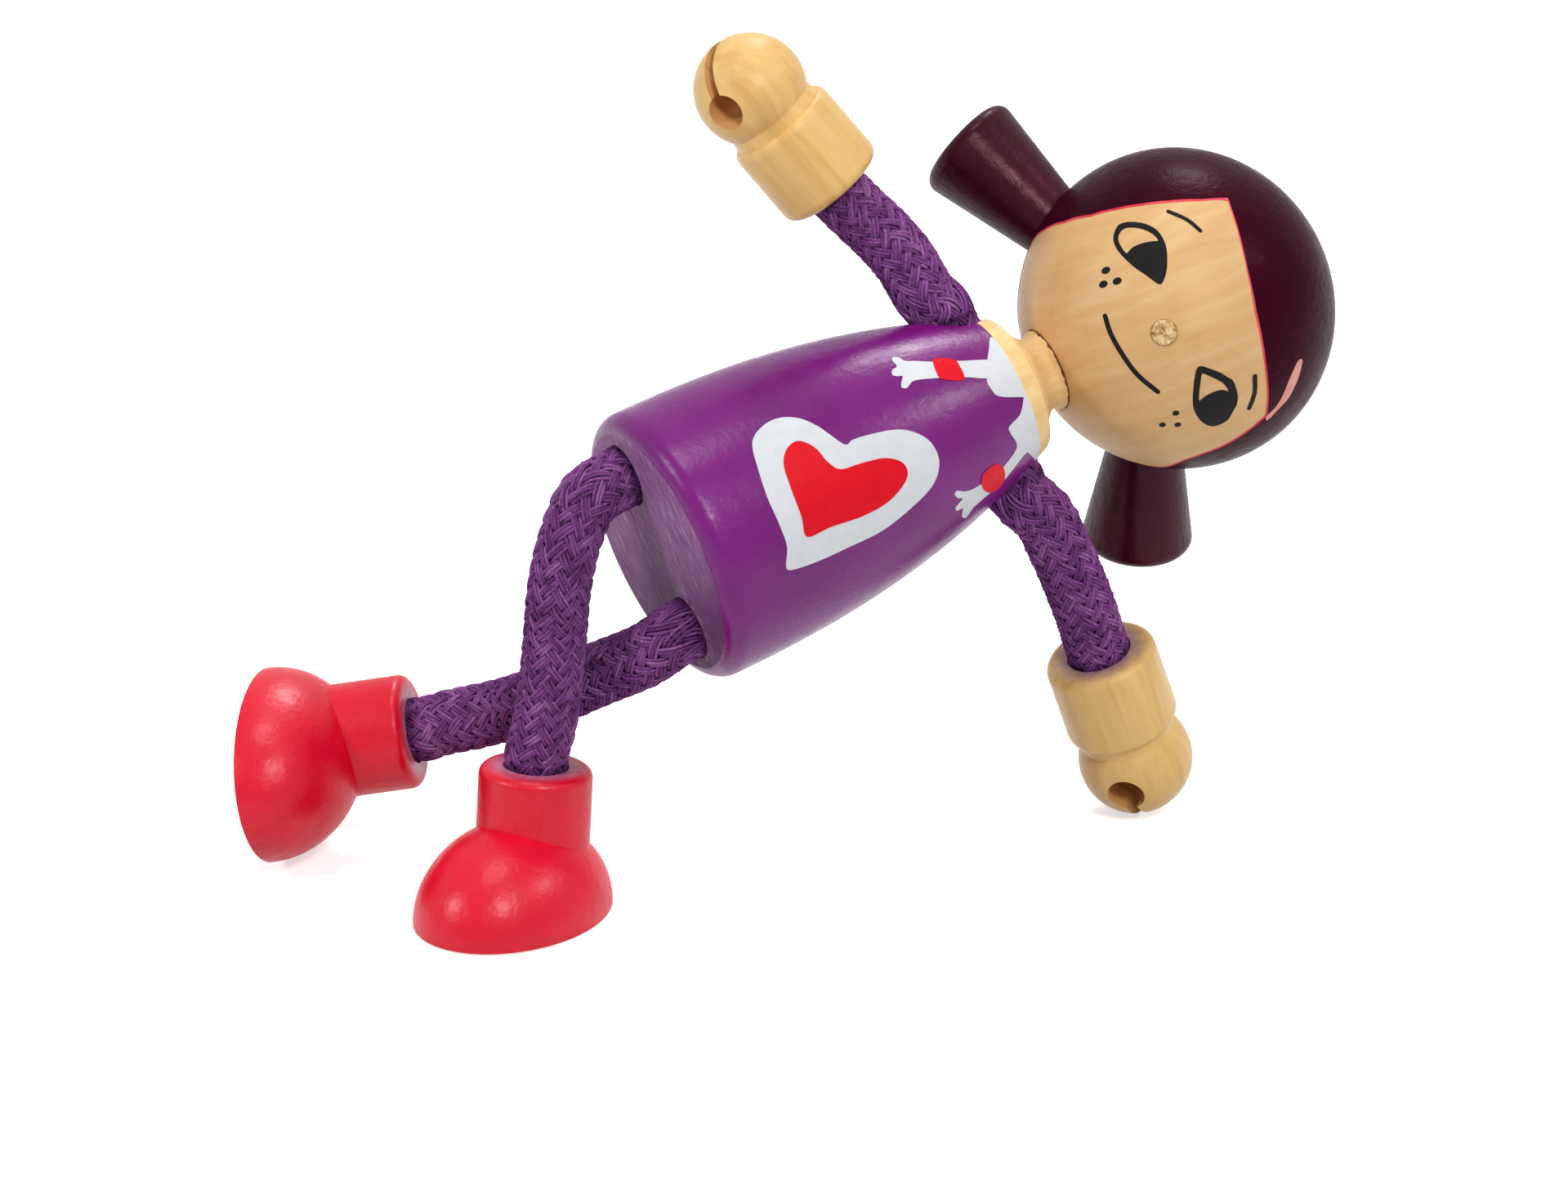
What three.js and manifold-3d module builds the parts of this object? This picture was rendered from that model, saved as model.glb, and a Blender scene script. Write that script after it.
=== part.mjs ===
// A turned wooden doll with four wire-cored cord limbs, held in a side plank:
// it stands on the right boot, the rim of the left boot and the left hand.
// Millimetres, +Z up. The doll's own left, front and up are named as the doll has them.
import * as THREE from "three";
import { mergeVertices } from "three/addons/utils/BufferGeometryUtils.js";
import Module from "manifold-3d";

const wasm = await Module();
wasm.setup();

// Faces round a turned piece, a small hole or peg, and a cord
const turnedSides = 40;
const holeSides = 20;
const cordSides = 8;
const arcSteps = 3;

// Room between pieces that touch
const seatGap = 0.1;
const pegClearance = 0.1;
const cordClearance = 0.1;
const wireClearance = 0.12;
const stretchGap = 0.06;
// How far a cord runs on straight outside the hole that holds it
const cordRunOutLength = 0.55;

// Torso: a bullet shape under a waisted neck
const torsoRadius = 6.5;
const torsoEdge = 0.9;
const torsoHeight = 18.8;
const torsoTopRadius = 3.25;
const taperPower = 2.45;
const taperSteps = 10;
const neckHeight = 1.7;
const neckRadius = 1.62;
const neckFlareWidth = 0.32;
const neckTaperPower = 2.2;
const neckFlarePower = 8;
const neckSteps = 7;
const armBoreDepth = 1.8;
const legHoleSpread = 3.75;
const legHoleDepth = 7;

// Head: a ball, flattened a little at its crown and cut flat under the chin
const headRadius = 7.3;
const headCrownHeight = 7;
const chinRadius = 2.07;
const headSteps = 20;
const neckPegRadius = 0.9;
const neckPegWall = 0.4;
const neckPegInHead = 3.5;
const noseRadius = 0.6;
const noseLength = 2.2;
const noseStandHeight = 0.12;
const noseLatitude = -28;

// Pigtails: small cones pegged to the sides of the head, the left one further back
const pigtailNarrowRadius = 1.6;
const pigtailWideRadius = 2.5;
const pigtailLength = 5.33;
const pigtailEdgeRadius = 0.55;
const pigtailSinkDepth = 0.6;
const rightPigtailSeat = { latitude: -25, back: 28 };
const rightPigtailAxis = { latitude: -17, back: 25 };
const leftPigtailSeat = { latitude: -20.5, back: 37.2 };
const leftPigtailAxis = { latitude: -13.2, back: 34.3 };
const pigtailPegRadius = 0.5;
const pigtailPegLength = 4;

// Limb cord and its wire core
const cordRadius = 1.4;
const wireRadius = 0.4;
const cordStep = 0.75;

// Hands: a collar, a groove and a ball with a clip hole and a slit
const handCollarRadius = 2.58;
const handCollarLength = 4.1;
const handEdge = 0.5;
const handShoulderLength = 0.45;
const handGrooveRadius = 2.2;
const handBallRadius = 2.6;
const handBallReach = 6;
const clipHoleRadius = 0.85;
const clipHoleOffset = 0.37;
const clipSlitWidth = 0.55;
const handSocketDepth = 2.6;

// Boots: half an egg on a flat sole, with a round leg leaning to the heel
const soleHalfLength = 5.47;
const soleHalfWidth = 4.11;
const bootDomeHeight = 4.2;
const bootDomeSteps = 9;
const bootLegRadius = 2.6;
const bootLegTop = 6.45;
const bootLegBack = 1.44;
const bootLegLean = 5;
const bootEdge = 0.45;
const bootSocketDepth = 3;

// Stance: where the origin lies from the middle of the right sole, and how each piece stands
const stanceCentre = new THREE.Vector3(12.31, 8.565, 0);
const torsoStance = {
  place: new THREE.Vector3(6.57, 2.53, 16.54),
  up: new THREE.Vector3(0.856, 0.4525, 0.25),
  front: new THREE.Vector3(0.343, -0.859, 0.381),
};
const rightBootStance = {
  place: new THREE.Vector3(0, 0, 0),
  up: new THREE.Vector3(0, 0, 1),
  front: new THREE.Vector3(-0.53, -0.848, 0),
};
const leftBootStance = {
  place: new THREE.Vector3(-11.036, 7.665, 4.042),
  up: new THREE.Vector3(0.943, -0.2593, 0.2088),
  front: new THREE.Vector3(-0.2393, -0.9639, -0.1165),
};
const rightHandStance = {
  place: new THREE.Vector3(14.56, 12.41, 30.34),
  up: new THREE.Vector3(-0.634, 0.053, 0.771),
  front: new THREE.Vector3(-0.329, -0.906, -0.265),
};
const leftHandStance = {
  place: new THREE.Vector3(26.58, 10.97, 8.22),
  up: new THREE.Vector3(0.281, 0.209, -0.937),
  front: new THREE.Vector3(-0.218, -0.932, -0.29),
};

// Where each limb's cord passes: first measured from its mouth in the torso,
// then from the mouth of its hand or boot
const rightArmFromTorso = [
  new THREE.Vector3(-0.87, 0.29, 1.1),
  new THREE.Vector3(-1.81, 0.74, 2.59),
];
const rightArmFromHand = [
  new THREE.Vector3(2.29, -0.24, -2.35),
  new THREE.Vector3(1.19, -0.09, -1.28),
];
const rightLegFromTorso = [
  new THREE.Vector3(-1.7, -1.1, -0.7),
  new THREE.Vector3(-2.47, -1.74, -2.29),
  new THREE.Vector3(-2.96, -1.99, -4.38),
];
const rightLegFromBoot = [
  new THREE.Vector3(0.89, -0.06, 6.74),
  new THREE.Vector3(0.71, -0.06, 4.55),
  new THREE.Vector3(0.45, -0.05, 2.4),
];
const leftArmFromTorso = [
  new THREE.Vector3(1.38, 0.11, -1.77),
  new THREE.Vector3(2.05, 0.32, -3.24),
];
const leftArmFromHand = [
  new THREE.Vector3(-1.22, -1.1, 4.13),
  new THREE.Vector3(-0.63, -0.68, 2.33),
];
const leftLegFromTorso = [
  new THREE.Vector3(-1.93, 0.48, -1.49),
  new THREE.Vector3(-3.97, 2.01, -3.02),
  new THREE.Vector3(-6.08, 3.58, -4.61),
];
const leftLegFromBoot = [
  new THREE.Vector3(4.41, -1.22, 1.59),
  new THREE.Vector3(2.79, -0.64, 0.93),
  new THREE.Vector3(1.28, -0.21, 0.42),
];

// Each cord is divided along itself, from the torso on: all its stretches bend but the thigh and the last
const armBendLength = 2.9;
const elbowBendLength = 2.5;
const hipBendLength = 3;
const thighLength = 2.2;
const kneeBendLength = 3.4;
const armStretches = [
  { name: "shoulder", length: armBendLength },
  { name: "upper", length: armBendLength },
  { name: "elbow", length: elbowBendLength },
];
const legStretches = [
  { name: "hip", length: hipBendLength },
  { name: "groin", length: hipBendLength },
  { name: "thigh", length: thighLength },
  { name: "knee", length: kneeBendLength },
];

const woodLook = new THREE.MeshStandardMaterial({ color: 0xe0bd86, roughness: 0.5 });
const honeyLook = new THREE.MeshStandardMaterial({ color: 0xd9ab66, roughness: 0.35 });
const torsoLook = new THREE.MeshStandardMaterial({ color: 0x5d1a7c, roughness: 0.4 });
const hairLook = new THREE.MeshStandardMaterial({ color: 0x34101e, roughness: 0.35 });
const bootLook = new THREE.MeshStandardMaterial({ color: 0xd8182b, roughness: 0.35 });
const cordLook = new THREE.MeshStandardMaterial({ color: 0x5a2570, roughness: 0.95 });
const wireLook = new THREE.MeshStandardMaterial({ color: 0x9a9a9e, roughness: 0.4, metalness: 1 });

const doll = new THREE.Group();
const stance = new THREE.Group();
stance.position.copy(stanceCentre).negate();
doll.add(stance);

// Turns local +Z to up and local +X to front
function pose({ place, up, front }) {
  const z = up.clone().normalize();
  const x = front.clone().addScaledVector(z, -front.dot(z)).normalize();
  const y = z.clone().cross(x);
  return new THREE.Matrix4().makeBasis(x, y, z).setPosition(place);
}

function toSolid(geometry) {
  const bare = geometry.clone();
  bare.deleteAttribute("normal");
  bare.deleteAttribute("uv");
  const merged = mergeVertices(bare, 1e-5);
  const mesh = new wasm.Mesh({
    numProp: 3,
    vertProperties: new Float32Array(merged.attributes.position.array),
    triVerts: new Uint32Array(merged.index.array),
  });
  return new wasm.Manifold(mesh);
}

function toGeometry(solid) {
  const mesh = solid.getMesh();
  const geometry = new THREE.BufferGeometry();
  geometry.setAttribute("position", new THREE.BufferAttribute(new Float32Array(mesh.vertProperties), 3));
  geometry.setIndex(new THREE.BufferAttribute(new Uint32Array(mesh.triVerts), 1));
  geometry.computeVertexNormals();
  return geometry;
}

function cut(geometry, cutters) {
  let solid = toSolid(geometry);
  for (const cutter of cutters) {
    solid = solid.subtract(toSolid(cutter));
  }
  return toGeometry(solid);
}

// A turned solid about +Z from [radius, height] points that start and end on the axis
function turned(points, sides = turnedSides) {
  const profile = points.map(([radius, height]) => new THREE.Vector2(radius, height));
  return new THREE.LatheGeometry(profile, sides).rotateX(Math.PI / 2);
}

function arc(centreRadius, centreHeight, radius, fromDegrees, toDegrees, steps) {
  return Array.from({ length: steps + 1 }, (_, step) => {
    const angle = THREE.MathUtils.degToRad(fromDegrees + ((toDegrees - fromDegrees) * step) / steps);
    return [centreRadius + radius * Math.cos(angle), centreHeight + radius * Math.sin(angle)];
  });
}

// A rod along +Z from one height to another
function rod(radius, from, to, sides = holeSides) {
  const shape = new THREE.CylinderGeometry(radius, radius, to - from, sides).rotateX(Math.PI / 2);
  return shape.translate(0, 0, (from + to) / 2);
}

// A direction on the head: latitude above its equator, degrees back from straight to one side
function headDirection({ latitude, back }, side) {
  const lat = THREE.MathUtils.degToRad(latitude);
  const turn = THREE.MathUtils.degToRad(back);
  const level = Math.cos(lat);
  return new THREE.Vector3(-level * Math.sin(turn), side * level * Math.cos(turn), Math.sin(lat));
}

function addPiece(name, geometry, material, matrix = new THREE.Matrix4()) {
  const mesh = new THREE.Mesh(geometry, material.clone());
  mesh.name = name;
  mesh.applyMatrix4(matrix);
  stance.add(mesh);
}

// One stretch of a longer curve, between two distances from the point where the cord leaves the torso
class Stretch extends THREE.Curve {
  constructor(whole, from, to) {
    super();
    this.whole = whole;
    this.length = whole.getLength();
    this.from = from;
    this.to = to;
  }

  getPoint(t, target = new THREE.Vector3()) {
    const distance = this.from + (this.to - this.from) * t;
    return target.copy(this.whole.getPointAt(THREE.MathUtils.clamp(distance / this.length, 0, 1)));
  }
}

function ring(outer, inner) {
  const shape = new THREE.Shape();
  shape.absarc(0, 0, outer, 0, 2 * Math.PI, false);
  if (inner > 0) {
    const hole = new THREE.Path();
    hole.absarc(0, 0, inner, 0, 2 * Math.PI, true);
    shape.holes.push(hole);
  }
  return shape;
}

function tube(path, outer, inner) {
  const steps = Math.max(1, Math.round(path.getLength() / cordStep));
  const section = ring(outer, inner);
  return new THREE.ExtrudeGeometry(section, {
    steps,
    curveSegments: cordSides / 2,
    extrudePath: path,
    bevelEnabled: false,
  });
}

// Sleeve and wire of one stretch of cord
function addCord(name, path) {
  addPiece(`${name}_cord`, tube(path, cordRadius, wireRadius + wireClearance), cordLook);
  addPiece(`${name}_wire`, tube(path, wireRadius, 0), wireLook);
}

const torsoMatrix = pose(torsoStance);
const cordHoleRadius = cordRadius + cordClearance;
const neckTop = torsoHeight + neckHeight;
const armBoreHeight = torsoHeight - armBoreDepth;
const neckPegInTorso = neckHeight + armBoreDepth - cordHoleRadius - neckPegWall - pegClearance;
const headFlatDepth = Math.sqrt(headRadius ** 2 - chinRadius ** 2);
const headCentre = neckTop + seatGap + headFlatDepth;

// Torso radius at a height above the sole of the torso
function torsoRadiusAt(height) {
  const drop = 1 - torsoTopRadius / torsoRadius;
  return torsoRadius * (1 - drop * (height / torsoHeight) ** taperPower);
}

function torsoPiece() {
  const points = [[0, 0]];
  points.push(...arc(torsoRadius - torsoEdge, torsoEdge, torsoEdge, -90, 0, arcSteps));
  for (let step = 1; step <= taperSteps; step += 1) {
    const height = torsoEdge + ((torsoHeight - torsoEdge) * step) / taperSteps;
    points.push([torsoRadiusAt(height), height]);
  }
  for (let step = 1; step <= neckSteps; step += 1) {
    const rise = step / neckSteps;
    const taper = (torsoTopRadius - neckRadius) * (1 - rise) ** neckTaperPower;
    const flare = neckFlareWidth * rise ** neckFlarePower;
    points.push([neckRadius + taper + flare, torsoHeight + neckHeight * rise]);
  }
  points.push([0, neckTop]);
  const reach = torsoRadius + torsoEdge;
  const armBore = rod(cordHoleRadius, -reach, reach).rotateX(Math.PI / 2).translate(0, 0, armBoreHeight);
  const legHoles = [-1, 1].map((side) =>
    rod(cordHoleRadius, -torsoEdge, legHoleDepth).translate(0, side * legHoleSpread, 0)
  );
  const pegFloor = neckTop - neckPegInTorso - pegClearance;
  const pegHole = rod(neckPegRadius + pegClearance, pegFloor, neckTop + seatGap);
  return cut(turned(points), [armBore, ...legHoles, pegHole]);
}

const noseDirection = headDirection({ latitude: noseLatitude, back: -90 }, 1);
const noseStance = {
  place: noseDirection.clone().multiplyScalar(headRadius),
  up: noseDirection,
  front: new THREE.Vector3(0, 1, 0),
};
const nosePose = pose(noseStance);

const mirror = [
  { side: -1, word: "right" },
  { side: 1, word: "left" },
];
const pigtailPlaces = {
  right: [rightPigtailSeat, rightPigtailAxis],
  left: [leftPigtailSeat, leftPigtailAxis],
};

function pigtailPose({ side, word }) {
  const [seat, axis] = pigtailPlaces[word];
  return pose({
    place: headDirection(seat, side).multiplyScalar(headRadius),
    up: headDirection(axis, side),
    front: new THREE.Vector3(0, 0, 1),
  });
}

// Points of the head's outline from one latitude to the crown, grown by a distance
function headArc(fromDegrees, grow) {
  const radius = headRadius + grow;
  const flatten = (headCrownHeight + grow) / radius;
  const points = arc(0, 0, radius, fromDegrees, 90, headSteps);
  points[points.length - 1][0] = 0;
  return points.map(([reach, height]) => [reach, height > 0 ? height * flatten : height]);
}

function headPiece() {
  const chinAngle = -THREE.MathUtils.radToDeg(Math.asin(headFlatDepth / headRadius));
  const points = [[0, -headFlatDepth], ...headArc(chinAngle, 0)];
  const neckHole = rod(
    neckPegRadius + pegClearance,
    -headFlatDepth - seatGap,
    -headFlatDepth - seatGap + neckPegInHead + pegClearance
  );
  const noseHole = rod(noseRadius + pegClearance, noseStandHeight - noseLength - pegClearance, headRadius);
  noseHole.applyMatrix4(nosePose);
  const pegHoles = mirror.map((half) =>
    rod(pigtailPegRadius + pegClearance, -pigtailPegLength / 2 - pegClearance, headRadius / 2)
      .applyMatrix4(pigtailPose(half))
  );
  return cut(turned(points), [neckHole, noseHole, ...pegHoles]);
}

function pigtailPiece(half) {
  const points = [[0, -pigtailSinkDepth], [pigtailNarrowRadius, -pigtailSinkDepth]];
  const slope = Math.atan2(pigtailWideRadius - pigtailNarrowRadius, pigtailLength);
  const shoulder = THREE.MathUtils.radToDeg(-slope);
  const edgeAxis = pigtailWideRadius - pigtailEdgeRadius;
  const edgeHeight = pigtailLength - pigtailEdgeRadius;
  points.push(...arc(edgeAxis, edgeHeight, pigtailEdgeRadius, shoulder, 90, arcSteps));
  points.push([0, pigtailLength]);
  const ball = headArc(-90, seatGap);
  ball[0][0] = 0;
  const seat = turned(ball);
  seat.applyMatrix4(pigtailPose(half).invert());
  const pegHole = rod(
    pigtailPegRadius + pegClearance,
    -pigtailSinkDepth - seatGap,
    pigtailPegLength / 2 + pegClearance
  );
  return cut(turned(points), [seat, pegHole]);
}

function handPiece() {
  const grooveAngle = -THREE.MathUtils.radToDeg(Math.acos(handGrooveRadius / handBallRadius));
  const points = [[0, 0]];
  points.push(...arc(handCollarRadius - handEdge, handEdge, handEdge, -90, 0, arcSteps));
  points.push([handCollarRadius, handCollarLength - handShoulderLength]);
  points.push([handGrooveRadius + handEdge / 4, handCollarLength]);
  points.push(...arc(0, handBallReach, handBallRadius, grooveAngle, 90, 2 * arcSteps));
  points[points.length - 1][0] = 0;
  const socket = rod(cordHoleRadius, -handEdge, handSocketDepth);
  const reach = 2 * handBallRadius;
  const clipHeight = handBallReach + clipHoleOffset;
  const clipHole = rod(clipHoleRadius, -reach, reach).rotateY(Math.PI / 2).translate(0, 0, clipHeight);
  const slit = new THREE.BoxGeometry(2 * reach, clipSlitWidth, reach).translate(0, 0, clipHeight + reach / 2);
  return cut(turned(points), [socket, clipHole, slit]);
}

// From the middle of a boot's sole to the mouth of its socket, leaning back
const bootLegPose = pose({
  place: new THREE.Vector3(-bootLegBack, 0, 0),
  up: new THREE.Vector3(
    -Math.sin(THREE.MathUtils.degToRad(bootLegLean)),
    0,
    Math.cos(THREE.MathUtils.degToRad(bootLegLean))
  ),
  front: new THREE.Vector3(1, 0, 0),
});

function bootPiece() {
  const half = arc(0, 0, 1, 0, 90, bootDomeSteps);
  half[half.length - 1][0] = 0;
  const dome = turned([[0, 0], ...half]).scale(soleHalfLength, soleHalfWidth, bootDomeHeight);
  const legPoints = [[0, bootEdge], [bootLegRadius, bootEdge]];
  legPoints.push(...arc(bootLegRadius - bootEdge, bootLegTop - bootEdge, bootEdge, 0, 90, arcSteps));
  legPoints.push([0, bootLegTop]);
  const leg = turned(legPoints).applyMatrix4(bootLegPose);
  const socket = rod(cordHoleRadius, bootLegTop - bootSocketDepth, bootLegTop + bootEdge);
  socket.applyMatrix4(bootLegPose);
  return toGeometry(toSolid(dome).add(toSolid(leg)).subtract(toSolid(socket)));
}

addPiece("torso", torsoPiece(), torsoLook, torsoMatrix);
const headMatrix = torsoMatrix.clone().multiply(new THREE.Matrix4().makeTranslation(0, 0, headCentre));
addPiece("head", headPiece(), woodLook, headMatrix);
addPiece(
  "neck_peg",
  rod(neckPegRadius, neckTop - neckPegInTorso, neckTop + neckPegInHead),
  woodLook,
  torsoMatrix
);
addPiece(
  "nose_peg",
  rod(noseRadius, noseStandHeight - noseLength, noseStandHeight),
  woodLook,
  headMatrix.clone().multiply(nosePose)
);

// The point a little further on when going from one point to another
function beyond(from, to, distance) {
  return to.clone().sub(from).setLength(distance).add(to);
}

// A limb's cord: straight in its hole in the torso, through the chosen points, straight into its socket
function limbCurve(holeFloor, holeMouth, [fromHole, fromSocket], socketMouth, socketFloor) {
  const points = [
    ...fromHole.map((offset) => offset.clone().add(holeMouth)),
    ...fromSocket.map((offset) => offset.clone().add(socketMouth)),
  ];
  const start = [holeFloor, holeMouth, beyond(holeFloor, holeMouth, cordRunOutLength)];
  const end = [beyond(socketFloor, socketMouth, cordRunOutLength), socketMouth, socketFloor];
  return new THREE.CatmullRomCurve3([...start, ...points, ...end], false, "centripetal");
}

// Distance along a curve to the place nearest to a point
function distanceTo(curve, point) {
  const length = curve.getLength();
  const samples = 400;
  let nearest = 0;
  for (let index = 1; index <= samples; index += 1) {
    const here = curve.getPointAt(index / samples).distanceTo(point);
    if (here < curve.getPointAt(nearest / samples).distanceTo(point)) {
      nearest = index;
    }
  }
  return (length * nearest) / samples;
}

function addLimb(limb, stretches, curve, start, mouth, lastName) {
  const zero = distanceTo(curve, mouth);
  let from = start;
  let end = zero;
  for (const { name, length } of stretches) {
    end += length;
    addCord(`${limb}_${name}`, new Stretch(curve, from, end - stretchGap / 2));
    from = end + stretchGap / 2;
  }
  addCord(`${limb}_${lastName}`, new Stretch(curve, from, curve.getLength() - cordClearance));
}

const armExit = torsoRadiusAt(armBoreHeight);
const handStances = { right: rightHandStance, left: leftHandStance };
const bootStances = { right: rightBootStance, left: leftBootStance };
const armRoutes = {
  right: [rightArmFromTorso, rightArmFromHand],
  left: [leftArmFromTorso, leftArmFromHand],
};
const legRoutes = {
  right: [rightLegFromTorso, rightLegFromBoot],
  left: [leftLegFromTorso, leftLegFromBoot],
};

const bodyCordEnd = armExit - cordRadius;
const bodyCordPath = new THREE.LineCurve3(
  new THREE.Vector3(0, -bodyCordEnd, armBoreHeight).applyMatrix4(torsoMatrix),
  new THREE.Vector3(0, bodyCordEnd, armBoreHeight).applyMatrix4(torsoMatrix)
);
addCord("arms_inner", bodyCordPath);

for (const half of mirror) {
  const { side, word } = half;
  const pigtailMatrix = headMatrix.clone().multiply(pigtailPose(half));
  addPiece(`${word}_pigtail`, pigtailPiece(half), hairLook, pigtailMatrix);
  addPiece(
    `${word}_pigtail_peg`,
    rod(pigtailPegRadius, -pigtailPegLength / 2, pigtailPegLength / 2),
    woodLook,
    pigtailMatrix
  );

  const handMatrix = pose(handStances[word]);
  addPiece(`${word}_hand`, handPiece(), honeyLook, handMatrix);
  const armStart = new THREE.Vector3(0, side * (bodyCordEnd + stretchGap), armBoreHeight);
  armStart.applyMatrix4(torsoMatrix);
  const armMouth = new THREE.Vector3(0, side * armExit, armBoreHeight).applyMatrix4(torsoMatrix);
  const handMouth = new THREE.Vector3(0, 0, 0).applyMatrix4(handMatrix);
  const handFloor = new THREE.Vector3(0, 0, handSocketDepth).applyMatrix4(handMatrix);
  const armCurve = limbCurve(armStart, armMouth, armRoutes[word], handMouth, handFloor);
  addLimb(`${word}_arm`, armStretches, armCurve, 0, armMouth, "wrist");

  const bootMatrix = pose(bootStances[word]);
  addPiece(`${word}_boot`, bootPiece(), bootLook, bootMatrix);
  const legStart = new THREE.Vector3(0, side * legHoleSpread, legHoleDepth - cordClearance);
  legStart.applyMatrix4(torsoMatrix);
  const legMouth = new THREE.Vector3(0, side * legHoleSpread, 0).applyMatrix4(torsoMatrix);
  const legMatrix = bootMatrix.clone().multiply(bootLegPose);
  const bootMouth = new THREE.Vector3(0, 0, bootLegTop).applyMatrix4(legMatrix);
  const bootFloor = new THREE.Vector3(0, 0, bootLegTop - bootSocketDepth).applyMatrix4(legMatrix);
  const legCurve = limbCurve(legStart, legMouth, legRoutes[word], bootMouth, bootFloor);
  addLimb(`${word}_leg`, legStretches, legCurve, 0, legMouth, "shin");
}

export default doll;
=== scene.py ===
import math
import random

import bpy
import numpy as np
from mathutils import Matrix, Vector
from mathutils.geometry import delaunay_2d_cdt


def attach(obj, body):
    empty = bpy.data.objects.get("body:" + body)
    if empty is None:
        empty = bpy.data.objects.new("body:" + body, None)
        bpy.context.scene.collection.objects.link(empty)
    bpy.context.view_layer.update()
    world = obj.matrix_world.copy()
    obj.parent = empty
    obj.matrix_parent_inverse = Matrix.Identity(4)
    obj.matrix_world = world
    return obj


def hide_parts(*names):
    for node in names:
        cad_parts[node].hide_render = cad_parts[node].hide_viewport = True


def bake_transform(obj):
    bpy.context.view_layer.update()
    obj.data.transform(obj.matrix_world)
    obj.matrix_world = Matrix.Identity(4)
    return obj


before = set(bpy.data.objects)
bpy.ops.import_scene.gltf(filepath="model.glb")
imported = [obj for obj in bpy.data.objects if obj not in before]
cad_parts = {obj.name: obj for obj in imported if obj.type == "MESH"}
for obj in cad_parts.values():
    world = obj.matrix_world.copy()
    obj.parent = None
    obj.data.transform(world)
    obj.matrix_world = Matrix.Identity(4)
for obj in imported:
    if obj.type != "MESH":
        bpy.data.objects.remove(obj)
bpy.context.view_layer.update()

MM = 0.001
STANCE_CENTRE = np.array([12.31, 8.565, 0.0])

# Turned shapes, as in the solids
TORSO_RADIUS = 6.5
TORSO_EDGE = 0.9
TORSO_HEIGHT = 18.8
TORSO_TOP_RADIUS = 3.25
TAPER_POWER = 2.45
NECK_HEIGHT = 1.7
NECK_TOP = TORSO_HEIGHT + NECK_HEIGHT
NECK_RADIUS = 1.62
NECK_FLARE_WIDTH = 0.32
NECK_TAPER_POWER = 2.2
NECK_FLARE_POWER = 8
PAINT_TOP = 17.95
ARM_BORE_HEIGHT = TORSO_HEIGHT - 1.8
LEG_HOLE_SPREAD = 3.75
LEG_HOLE_DEPTH = 7
HEAD_RADIUS = 7.3
HEAD_CROWN_HEIGHT = 7
CHIN_RADIUS = 2.07
HEAD_FLAT_DEPTH = math.sqrt(HEAD_RADIUS**2 - CHIN_RADIUS**2)
SEAT_GAP = 0.1
SEAT_HEIGHT = NECK_TOP + SEAT_GAP
HEAD_CENTRE = SEAT_HEIGHT + HEAD_FLAT_DEPTH
NOSE_RADIUS = 0.6
NOSE_LATITUDE = -28
CORD_RADIUS = 1.4
HOLE_RADIUS = 1.5
WIRE_RADIUS = 0.4
CORD_RUN_OUT = 0.55
HAND_SOCKET_DEPTH = 2.6
BOOT_LEG_TOP = 6.45
BOOT_LEG_BACK = 1.44
BOOT_LEG_LEAN = 5
BOOT_SOCKET_DEPTH = 3
CORD_END_GAP = 0.1

# Fineness of the meshes; a sharp angle, in degrees, makes a hard edge
TURNED_SIDES = 128
FINE_SIDES = 160
CONE_SIDES = 96
DOWEL_SIDES = 40
HOLE_SIDES = 48
EDGE_STEPS = 8
ROUND_STEPS = 10
TURNED_SHARP = 28
CARVED_SHARP = 30
DOWEL_SHARP = 40
THIN_SHARP = 50

# How far a cutter passes a surface, and how far from a cut the middle of a face on it can be
CUT_PAST = 1
NEAR_CUT = 0.005
TINY = 1e-9


def unit(v):
    return v / np.linalg.norm(v)


def stand(place, up, front):
    """Frame with +Z along up and +X towards front, in millimetres."""
    z = unit(np.array(up, float))
    x = np.array(front, float)
    x = unit(x - z * x.dot(z))
    m = np.identity(4)
    m[:3, 0], m[:3, 1], m[:3, 2] = x, np.cross(z, x), z
    m[:3, 3] = place
    return m


def stance(place, up, front):
    return stand(np.array(place, float) - STANCE_CENTRE, up, front)


def moved(m, points):
    points = np.atleast_2d(np.array(points, float))
    return points @ m[:3, :3].T + m[:3, 3]


TORSO = stance((6.57, 2.53, 16.54), (0.856, 0.4525, 0.25), (0.343, -0.859, 0.381))
HEAD = TORSO @ stand((0, 0, HEAD_CENTRE), (0, 0, 1), (1, 0, 0))
BOOTS = {
    "right": stance((0, 0, 0), (0, 0, 1), (-0.53, -0.848, 0)),
    "left": stance((-11.036, 7.665, 4.042), (0.943, -0.2593, 0.2088), (-0.2393, -0.9639, -0.1165)),
}
HANDS = {
    "right": stance((14.56, 12.41, 30.34), (-0.634, 0.053, 0.771), (-0.329, -0.906, -0.265)),
    "left": stance((26.58, 10.97, 8.22), (0.281, 0.209, -0.937), (-0.218, -0.932, -0.29)),
}
LEAN = math.radians(BOOT_LEG_LEAN)
BOOT_LEG = stand((-BOOT_LEG_BACK, 0, 0), (-math.sin(LEAN), 0, math.cos(LEAN)), (1, 0, 0))
SIDES = {"right": -1, "left": 1}

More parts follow.
